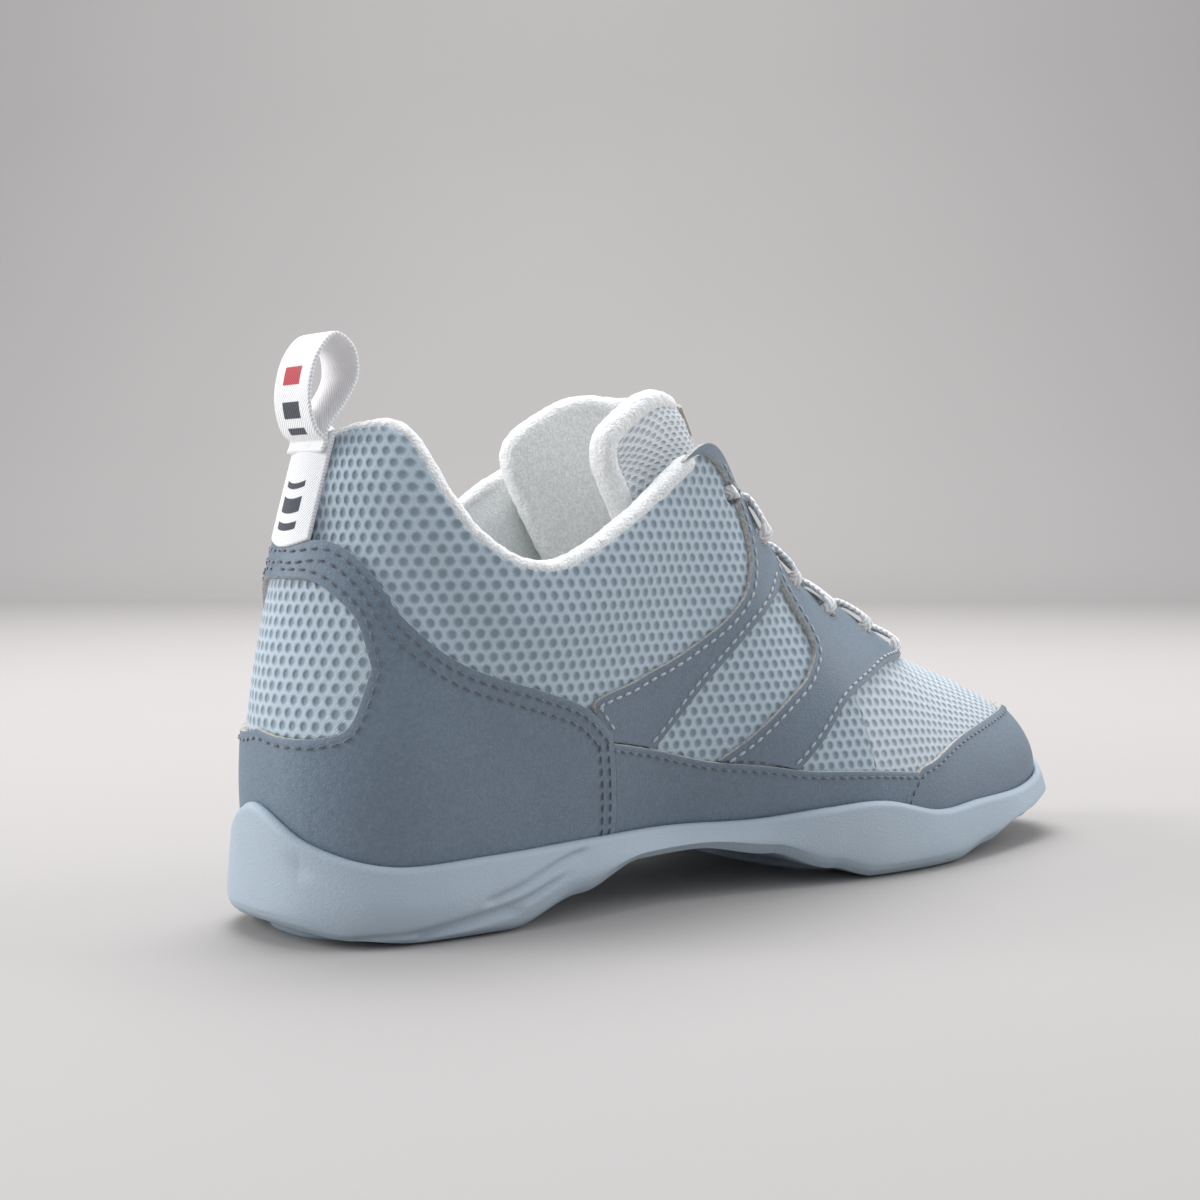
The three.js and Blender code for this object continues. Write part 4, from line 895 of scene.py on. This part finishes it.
def sole_profile(u):
    """Rings of the sole's section, from the floor inside over the rim to the underside."""
    out, (_, row), rim = outward(u), station(u), rim_point(u)
    edge = row[:, :3]
    floor = edge[:, 2] - GAP
    under = under_at(edge[:, 0] + out[:, 0] * 2)
    tall = rim[:, 2] - under

    def at(base, distance, z):
        p = base + out * np.reshape(distance, (-1, 1))
        p[:, 2] = z
        return p

    wall = edge + (rim - edge) * 0.5
    side = SIDE_FLARE + 1.2
    rings = [
        at(edge, 0.3, floor), at(wall, 0.35, floor * 0.5 + rim[:, 2] * 0.5), at(rim, 0.35, rim[:, 2] - 0.5),
        at(rim, 0.75, rim[:, 2] + 0.1), at(rim, 1.5, rim[:, 2] + 0.1), at(rim, 2.3, rim[:, 2] - 0.45),
    ]
    top = at(rim, 2.6, rim[:, 2] - 1.2)
    middle = at(edge, side, floor - (floor - under) * 0.35)
    low = at(edge, SIDE_FLARE + 0.6, under + 2.0)
    foot = at(edge, SIDE_FLARE - 1.2, under)
    control = [rings[-1], top, middle, low, foot, 2 * foot - low]
    for k in range(1, 4):
        a, b, c, d = control[k - 1:k + 3]
        for t in np.linspace(0, 1, 14 if k == 1 else 12)[:-1]:
            rings.append(through(a, b, c, d, t))
    rings.append(foot)
    rings = np.array(rings)
    side_share = np.clip((rings[:, :, 2] - under) / tall, 0, 1)
    cut = np.zeros(rings.shape[:2])
    for (x0, h0), (x1, h1) in SIDE_GROOVES:
        dx, dh = x1 - x0, (h1 - h0) * SIDE_HEIGHT
        px, ph = rings[:, :, 0] - x0, (side_share - h0) * SIDE_HEIGHT
        t = np.clip((px * dx + ph * dh) / (dx * dx + dh * dh), 0, 1)
        away = np.hypot(px - t * dx, ph - t * dh)
        fade = smooth(0, 0.12, t) * (1 - smooth(0.85, 1, t))
        cut += np.exp(-((away / GROOVE_WIDTH) ** 2)) * GROOVE_DEPTH * fade
    back = np.abs((np.mod(u + 2, RING) - 2.9) * 14)[None, :] + np.abs(side_share - 0.72) * 26
    cut += np.exp(-((back / 3.0) ** 2)) * 0.6
    only_side = (np.arange(len(rings)) > 5)[:, None]
    rings -= out[None] * (cut * only_side)[:, :, None]
    return rings


def sole():
    count = 480
    u = np.linspace(0, TOE, count + 1)
    near, far = sole_profile(u), sole_profile(RING - u)
    across = np.linspace(0, 1, 13)[1:-1][:, None, None]
    under = near[-1] + (far[-1] - near[-1]) * across
    for strip in under:
        strip[:, 2] = under_at(strip[:, 0])
    floor = far[0] + (near[0] - far[0]) * across
    loop = np.concatenate([near, under, far[::-1], floor, near[:1]])

    def place(s, t):
        i = np.round(s * count).astype(int)
        j = np.round(t * (len(loop) - 1)).astype(int)
        points = loop[j, i]
        return points, points[:, :2]

    bm = weld(sheet_of(count, len(loop) - 1, place))
    bmesh.ops.recalc_face_normals(bm, faces=bm.faces)
    return bm


piece("moulded_sole", sole(), [SOLE], ["midsole"])


def pad_block(name):
    """A tread pad with rounded edges."""
    low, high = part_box(name)
    centre, half = (low + high) / 2, (high - low) / 2
    bm = bmesh.new()
    bmesh.ops.create_circle(bm, cap_ends=True, segments=72, radius=1)
    for vert in bm.verts:
        c, s = vert.co.x, vert.co.y
        x, y = (math.copysign(abs(n) ** 0.75, n) for n in (c, s))
        vert.co = (centre.x + half.x * x, centre.y + half.y * y, low.z)
    made = bmesh.ops.extrude_face_region(bm, geom=list(bm.faces))
    bmesh.ops.translate(bm, verts=[v for v in made["geom"] if isinstance(v, bmesh.types.BMVert)],
                        vec=(0, 0, high.z - low.z))
    bmesh.ops.recalc_face_normals(bm, faces=bm.faces)
    rim = [e for e in bm.edges if len(e.link_faces) == 2 and e.calc_face_angle() > 1
           and all(v.co.z < low.z + 1e-4 for v in e.verts)]
    bmesh.ops.bevel(bm, geom=rim, offset=0.0006, affect="EDGES", segments=3, profile=0.5, material=-1)
    return bm


for name in ("heel_tread", "ball_tread"):
    piece(f"{name}_pad", pad_block(name), [RUBBER], [name])


def sock_place(s, t):
    u = s * TOE
    inset = 9.0
    near = station(u)[1][:, :3] - outward(u) * inset
    far = station(RING - u)[1][:, :3] - outward(RING - u) * inset
    points = near + (far - near) * t[:, None]
    edge = np.minimum(t, 1 - t) * np.linalg.norm(far - near, axis=1)
    points[:, 2] += 6.0 - 0.9 * np.exp(-edge / 2.5) + 0.8 * np.exp(-edge / 9)
    return points, points[:, :2]


bm = weld(sheet_of(200, 44, sock_place))
bmesh.ops.recalc_face_normals(bm, faces=bm.faces)
face_out(bm, faces(0, 0, 1))
sock = piece("sock_liner_pad", bm, [SOCK_CLOTH], ["sock_liner"])
thicken(sock, 3.8, 0, 0.8, 3)

# ---- the tongue ----
TONGUE_ROWS = [  # along, height, and the wrap: depth, half width and rise at three places
    (203, 42.5, [[0.4, 4, 0], [1.2, 7.5, 0], [2, 10, 0]]),
    (190, 47, [[0.6, 5, 0], [2, 9.5, 0], [4, 13, 0]]),
    (172, 53, [[1, 7, 0], [3.5, 13, 0], [7, 18, 0]]),
    (154, 61.5, [[1.5, 8, 0], [5, 15, 0], [11, 21, 0]]),
    (139.5, 73, [[2.5, 9, 0], [8, 16, 0], [18, 21, 0]]),
    (130.5, 87, [[4, 10, 0], [14, 16.5, 0], [30, 20, 1]]),
    (126.5, 101, [[6, 10.5, 0], [20, 16.2, 2], [38, 20.5, 5]]),
    (124.5, 110, [[7, 10.5, 1], [22, 16.5, 5], [41, 20.5, 9]]),
    (120, 118, [[7, 10.5, 2], [20, 16.5, 8], [37, 20, 12]]),
]
TONGUE_SPAN = 60


def tongue_net():
    last_row = len(TONGUE_ROWS) - 1

    def middle(n):
        x, z, _ = TONGUE_ROWS[min(max(n, 0), last_row)]
        return np.array([x, RIDGE_Y * max(1 - n / 5, 0), z])

    net = []
    for n, (x, z, wrap) in enumerate(TONGUE_ROWS):
        up = unit(middle(n + 1) - middle(n - 1))
        inward = unit(np.array([-up[2], 0, up[0]]))
        medial = [middle(n) + inward * d + [0, -w, rise] for d, w, rise in wrap][::-1]
        lateral = [middle(n) + inward * d + [0, w, rise] for d, w, rise in wrap]
        net.append(line([*medial, middle(n), *lateral], TONGUE_SPAN + 1))
    return np.array(net)


TONGUE_NET = tongue_net()
TONGUE_TOP = len(TONGUE_ROWS) - 1


def tongue_face(s, t):
    """The tongue's outer face: s across it, t from its sewn base to its top."""
    row = t * TONGUE_TOP
    k = np.clip(np.floor(row).astype(int), 0, TONGUE_TOP - 1)
    column = s * TONGUE_SPAN
    i = np.clip(np.floor(column).astype(int), 0, TONGUE_SPAN - 1)
    f = (column - i)[:, None]

    def at(n):
        n = np.clip(n, 0, TONGUE_TOP)
        return TONGUE_NET[n, i] * (1 - f) + TONGUE_NET[n, i + 1] * f
    return through(at(k - 1), at(k), at(k + 1), at(k + 2), (row - k)[:, None])


def tongue_normal(s, t):
    e = 0.004
    s, t = np.clip(s, e, 1 - e), np.clip(t, e, 1 - e)
    right = tongue_face(s + e, t) - tongue_face(s - e, t)
    up = tongue_face(s, t + e) - tongue_face(s, t - e)
    return unit(np.cross(up, right)) * TONGUE_SIGN


TONGUE_SIGN = 1.0
probe = tongue_normal(np.array([0.5]), np.array([0.5]))[0]
TONGUE_SIGN = 1.0 if probe[0] + probe[2] > 0 else -1.0


def rounded(s, t):
    """Pulls the top corners in, so that the tongue ends in an arch."""
    across = np.abs(2 * s - 1)
    corner = np.clip((across - 0.55) / 0.45, 0, 1) ** 2.2
    return t * (1 - 0.085 * corner * smooth(0.5, 1, t))


def tongue_sheet(depth, crown, pile=0.0):
    def place(s, t):
        top = rounded(s, t)
        dome = crown * np.clip(1 - np.abs(2 * s - 1) ** 3, 0, 1)
        dome = dome * smooth(0, 0.35, t) * (1 - smooth(0.93, 1, t))
        normal = tongue_normal(s, top)
        points = tongue_face(s, top) + normal * (dome - depth)[:, None]
        if pile:
            points = tufted(points, 1.7, pile, normal)
        flat = np.stack([(s - 0.5) * 62, t * 118], 1)
        return points, flat
    return place


front = sheet_of(90, 150, tongue_sheet(0.2, 0.9))
face_out(front, faces(1, 0, 0.8))
tongue_front = piece("tongue_mesh", front, [TONGUE_MESH], ["tongue_shell"], None)
thicken(tongue_front, 1.6, 0, 0)
back = sheet_of(80, 130, tongue_sheet(6.0, -0.7, 0.1))
face_out(back, faces(-1, 0, -0.8))
tongue_back = piece("tongue_lining_cloth", back, [TERRY], ["tongue_lining"], None)
thicken(tongue_back, 1.0, 0, 0)


def tongue_outline(low):
    """Round the tongue's free edge, from low on one side over the top to low on the other."""
    t = np.linspace(low, 1, 60)
    s = np.linspace(0, 1, 90)
    sides = [(0 * t, t), (s[1:-1], 1 + 0 * s[1:-1]), (1 + 0 * t, t[::-1])]
    return [np.concatenate(column) for column in zip(*sides)]


def tongue_roll():
    s, t = tongue_outline(0.36)
    top = rounded(s, t)
    normal = tongue_normal(s, top)
    points = tongue_face(s, top) - normal * 3.2
    towards = np.stack([np.clip(s, 0.06, 0.94), np.clip(t, 0, 0.955)], 1)
    inner = tongue_face(towards[:, 0], rounded(towards[:, 0], towards[:, 1])) - normal * 3.2
    points = points + unit(points - inner) * 0.8
    course = eased(np.hstack([points[::3], normal[::3]]), 0.6)
    for _ in range(12):
        course[1:-1] = (course[:-2] + 2 * course[1:-1] + course[2:]) / 4
    return sweep(course[:, :3], unit(course[:, 3:]), 3.35, 3.0, 26, 0.95, 5.0, 0.2)


roll = piece("tongue_roll", tongue_roll(), [TERRY], ["tongue_edge"], None)


def label_place(s, t):
    where = 0.33 + 0.34 * s, 0.985 - 0.1 * t
    top = rounded(*where)
    points = tongue_face(where[0], top) + tongue_normal(where[0], top) * 1.15
    return points, np.stack([s * 22, t * 9], 1)


label = face_out(sheet_of(30, 12, label_place), faces(1, 0, 0.8))
label_piece = piece("tongue_label", label, [LABEL], (), None)
thicken(label_piece, 0.9, 0, 0.25)
for soft in (tongue_front, tongue_back, roll, label_piece):
    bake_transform(soft)


# ---- the lace ----
def lace_route():
    lift = LACE_THICKNESS / 2 + 0.35
    stay = float(inner_depth(np.array([7.5]), np.array([1.0]))[0])
    above, below = lift + 0.5, -(stay + lift + 0.5)
    grid = np.meshgrid(np.linspace(0.03, 0.97, 90), np.linspace(0.05, 0.98, 220))
    grid_s, grid_t = (part.ravel() for part in grid)
    shell = tongue_face(grid_s, grid_t)

    def throat(u):
        d = unit(last(u + 0.1, 1) - last(u - 0.1, 1))[0]
        return d if d[2] > 0 else -d

    def at(place, offset):
        return [*skin(place[0], place[1], -offset)[0], *throat(place[0])]

    def past(u, beyond, offset):
        point = skin(u, 1.0, -offset)[0] + [0, beyond if u < TOE else -beyond, 0]
        return [*point, *throat(u)]

    def tongue(a, b, share, up):
        target = skin(a[0], 1.0, -below)[0] * (1 - share) + skin(b[0], 1.0, -below)[0] * share
        n = np.argmin(np.linalg.norm(shell - target, axis=1))
        s, t = grid_s[n:n + 1], grid_t[n:n + 1]
        normal = tongue_normal(s, t)[0]
        rise = unit(tongue_face(s, np.minimum(t + 0.03, 1)) - tongue_face(s, t - 0.03))[0]
        return [*(shell[n] + normal * up), *rise]

    medial = [tuple(p) for p in EYELET_PLACES]
    lateral = [(RING - u, v) for u, v in medial]
    rows = {"medial": medial, "lateral": lateral}
    other = {"medial": "lateral", "lateral": "medial"}

    def run(start, end, over):
        on = lift + 1.2
        return [
            at(start, below), at(start, -stay / 2), at(start, above),
            at((start[0], (start[1] + 1) / 2), above + 0.2), past(start[0], 1.6, above),
            past(start[0], 2.6, above - 3), tongue(start, end, 0.2, on),
            tongue(start, end, 0.35, on), tongue(start, end, 0.5, on + 0.4 + over * (LACE_THICKNESS + 0.3)),
            tongue(start, end, 0.65, on), tongue(start, end, 0.8, on), past(end[0], 0.5, below),
            at((end[0], (end[1] + 1) / 2), below),
        ]

    def half(start):
        side, made = start, []
        for k in range(EYELETS - 1):
            made.append(run(rows[side][k], rows[other[side]][k + 1], side == "medial"))
            side = other[side]
        return made

    def tail(side):
        place = rows[side][-1]
        return [at(place, below), at(place, -stay / 2), at(place, 0.4)]

    first = half("medial")
    route = tail("lateral")[::-1]
    for part in reversed(first):
        route += part[::-1]
    bar = last(medial[0][0], 1)[0]
    route.append([bar[0], RIDGE_Y, bar[2] - stay - lift - 0.6, *unit(np.array([-1.0, 0, 1.0]))])
    for part in half("lateral"):
        route += part
    return route + tail("medial")


course = eased(lace_route(), 0.7)
for _ in range(2):
    course[1:-1] = (course[:-2] + 2 * course[1:-1] + course[2:]) / 4
lace = sweep(course[:, :3], unit(course[:, 3:]), LACE_WIDTH / 2, LACE_THICKNESS / 2, 14, 0.8)
piece("lace_braided", lace, [LACE], ["lace"])

# ---- the pull loop ----
top_of_heel = last(0, 1)[0]
PINCH = top_of_heel + [-1.6, 0, -0.5]
LEG_LIFT = 0.3


def tape(points):
    wide = np.tile([0.0, 1.0, 0.0], (len(points), 1))
    return sweep(points, wide, WEBBING_WIDTH / 2, WEBBING / 2 * 0.95, 20, 0.35)


def loop_course():
    d, h = LOOP_DEPTH, LOOP_HEIGHT
    profile = [[-1.0, 0.9], [-0.2 * d, 0.2 * h], [-0.23 * d, 0.45 * h], [-0.05 * d, 0.78 * h],
               [0.3 * d, 0.97 * h], [0.64 * d, 0.84 * h], [0.7 * d, 0.58 * h], [0.45 * d, 0.32 * h],
               [1.1, 0.9], [1.3, -2.2]]
    legs_top = [skin(0, v, -LEG_LIFT - 0.1)[0] for v in (0.955, 0.985)]
    return eased([*legs_top, *(PINCH + [x, 0, z] for x, z in profile)], 0.5)


loop = piece("pull_loop_tape", tape(loop_course()), [TAPE], ["pull_loop"], None)
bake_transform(loop)


def leg_place(s, t):
    v = 0.735 + (0.98 - 0.735) * t
    y = (s - 0.5) * WEBBING_WIDTH
    u = sum(halved(-2.0, 2.0, len(s), 25, lambda u: last(u, v)[:, 1] > y)) / 2
    flat = np.stack([LEG_START + t * 28, s * WEBBING_WIDTH], 1)
    return skin(u, v, -LEG_LIFT - 0.65), flat


legs = face_out(sheet_of(24, 50, leg_place), faces(-1, 0, 0))
thicken(piece("pull_loop_tape_legs", legs, [TAPE], ["pull_loop_legs"]), 1.3, 0, 0.3)

# ---- hidden nodes keep their shape and get a finish ----
HIDDEN = {HIDDEN_BOARD: ["lasting_board", "heel_counter", "toe_puff", "eyelet_backing_medial",
                         "eyelet_backing_lateral"],
          HIDDEN_FOAM: ["collar_foam_medial", "collar_foam_lateral", "tongue_foam"]}
for look, names in HIDDEN.items():
    for name in names:
        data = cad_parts[name].data
        data.materials.clear()
        data.materials.append(look)

# ---- studio ----
def studio():
    floor_look = Look("studio_floor", (0.38, 0.362, 0.352), 0.7)
    floor_look.finish(None, 0.6 + 0.2 * floor_look.noise(floor_look.place(), 3, 3))
    bm = bmesh.new()
    bmesh.ops.create_grid(bm, x_segments=60, y_segments=60, size=1)
    back = Vector((math.sin(CAMERA_AZIMUTH), -math.cos(CAMERA_AZIMUTH), 0))
    side = Vector((-back.y, back.x, 0))
    for vert in bm.verts:
        run = vert.co.y * 3.2
        rise = max(run - 2.2, 0)
        vert.co = -back * (run - 0.4) + side * vert.co.x * 5 + Vector((0, 0, rise * rise * 3.0))
    mesh = bpy.data.meshes.new("studio_floor")
    bmesh.ops.recalc_face_normals(bm, faces=bm.faces)
    bm.to_mesh(mesh)
    bm.free()
    mesh.shade_smooth()
    mesh.materials.append(floor_look.material)
    floor = bpy.data.objects.new("studio_floor", mesh)
    bpy.context.scene.collection.objects.link(floor)


CAMERA_AZIMUTH = math.radians(-39.6)
CAMERA_ELEVATION = math.radians(2.3)
CAMERA_DISTANCE = 0.450
CAMERA_TARGET = Vector((0.0655, 0, 0.0694))
studio()
camera_data = bpy.data.cameras.new("camera")
camera_data.sensor_width = 36
camera_data.lens = 55.47
camera = bpy.data.objects.new("camera", camera_data)
bpy.context.scene.collection.objects.link(camera)
back = Vector((math.sin(CAMERA_AZIMUTH) * math.cos(CAMERA_ELEVATION),
               -math.cos(CAMERA_AZIMUTH) * math.cos(CAMERA_ELEVATION), math.sin(CAMERA_ELEVATION)))
camera.location = CAMERA_TARGET + back * CAMERA_DISTANCE
camera.rotation_mode = "QUATERNION"
camera.rotation_quaternion = (-back).to_track_quat("-Z", "Y")
camera_data.clip_start, camera_data.clip_end = 0.01, 50
bpy.context.scene.camera = camera


def softbox(name, at, size, power, aim=(0.06, 0, 0.05)):
    data = bpy.data.lights.new(name, "AREA")
    data.shape, data.size, data.energy = "DISK", size, power
    light = bpy.data.objects.new(name, data)
    bpy.context.scene.collection.objects.link(light)
    light.location = Vector(at)
    light.rotation_mode = "QUATERNION"
    light.rotation_quaternion = (Vector(aim) - Vector(at)).to_track_quat("-Z", "Y")


softbox("top_softbox", (0.3, 0.4, 1.35), 1.4, 18)
softbox("right_softbox", (1.25, -0.5, 0.7), 0.9, 7)
softbox("left_softbox", (-0.95, 0.6, 0.6), 0.8, 11.5)
softbox("wall_wash", (0.5, 0.6, 1.7), 1.2, 25, aim=(1.45, 1.75, 0.35))
world = bpy.data.worlds.new("studio")
world.use_nodes = True
world.node_tree.nodes["Background"].inputs[0].default_value = (0.88, 0.93, 1, 1)
world.node_tree.nodes["Background"].inputs[1].default_value = 0.6
bpy.context.scene.world = world
bpy.context.scene.view_settings.view_transform = "Standard"
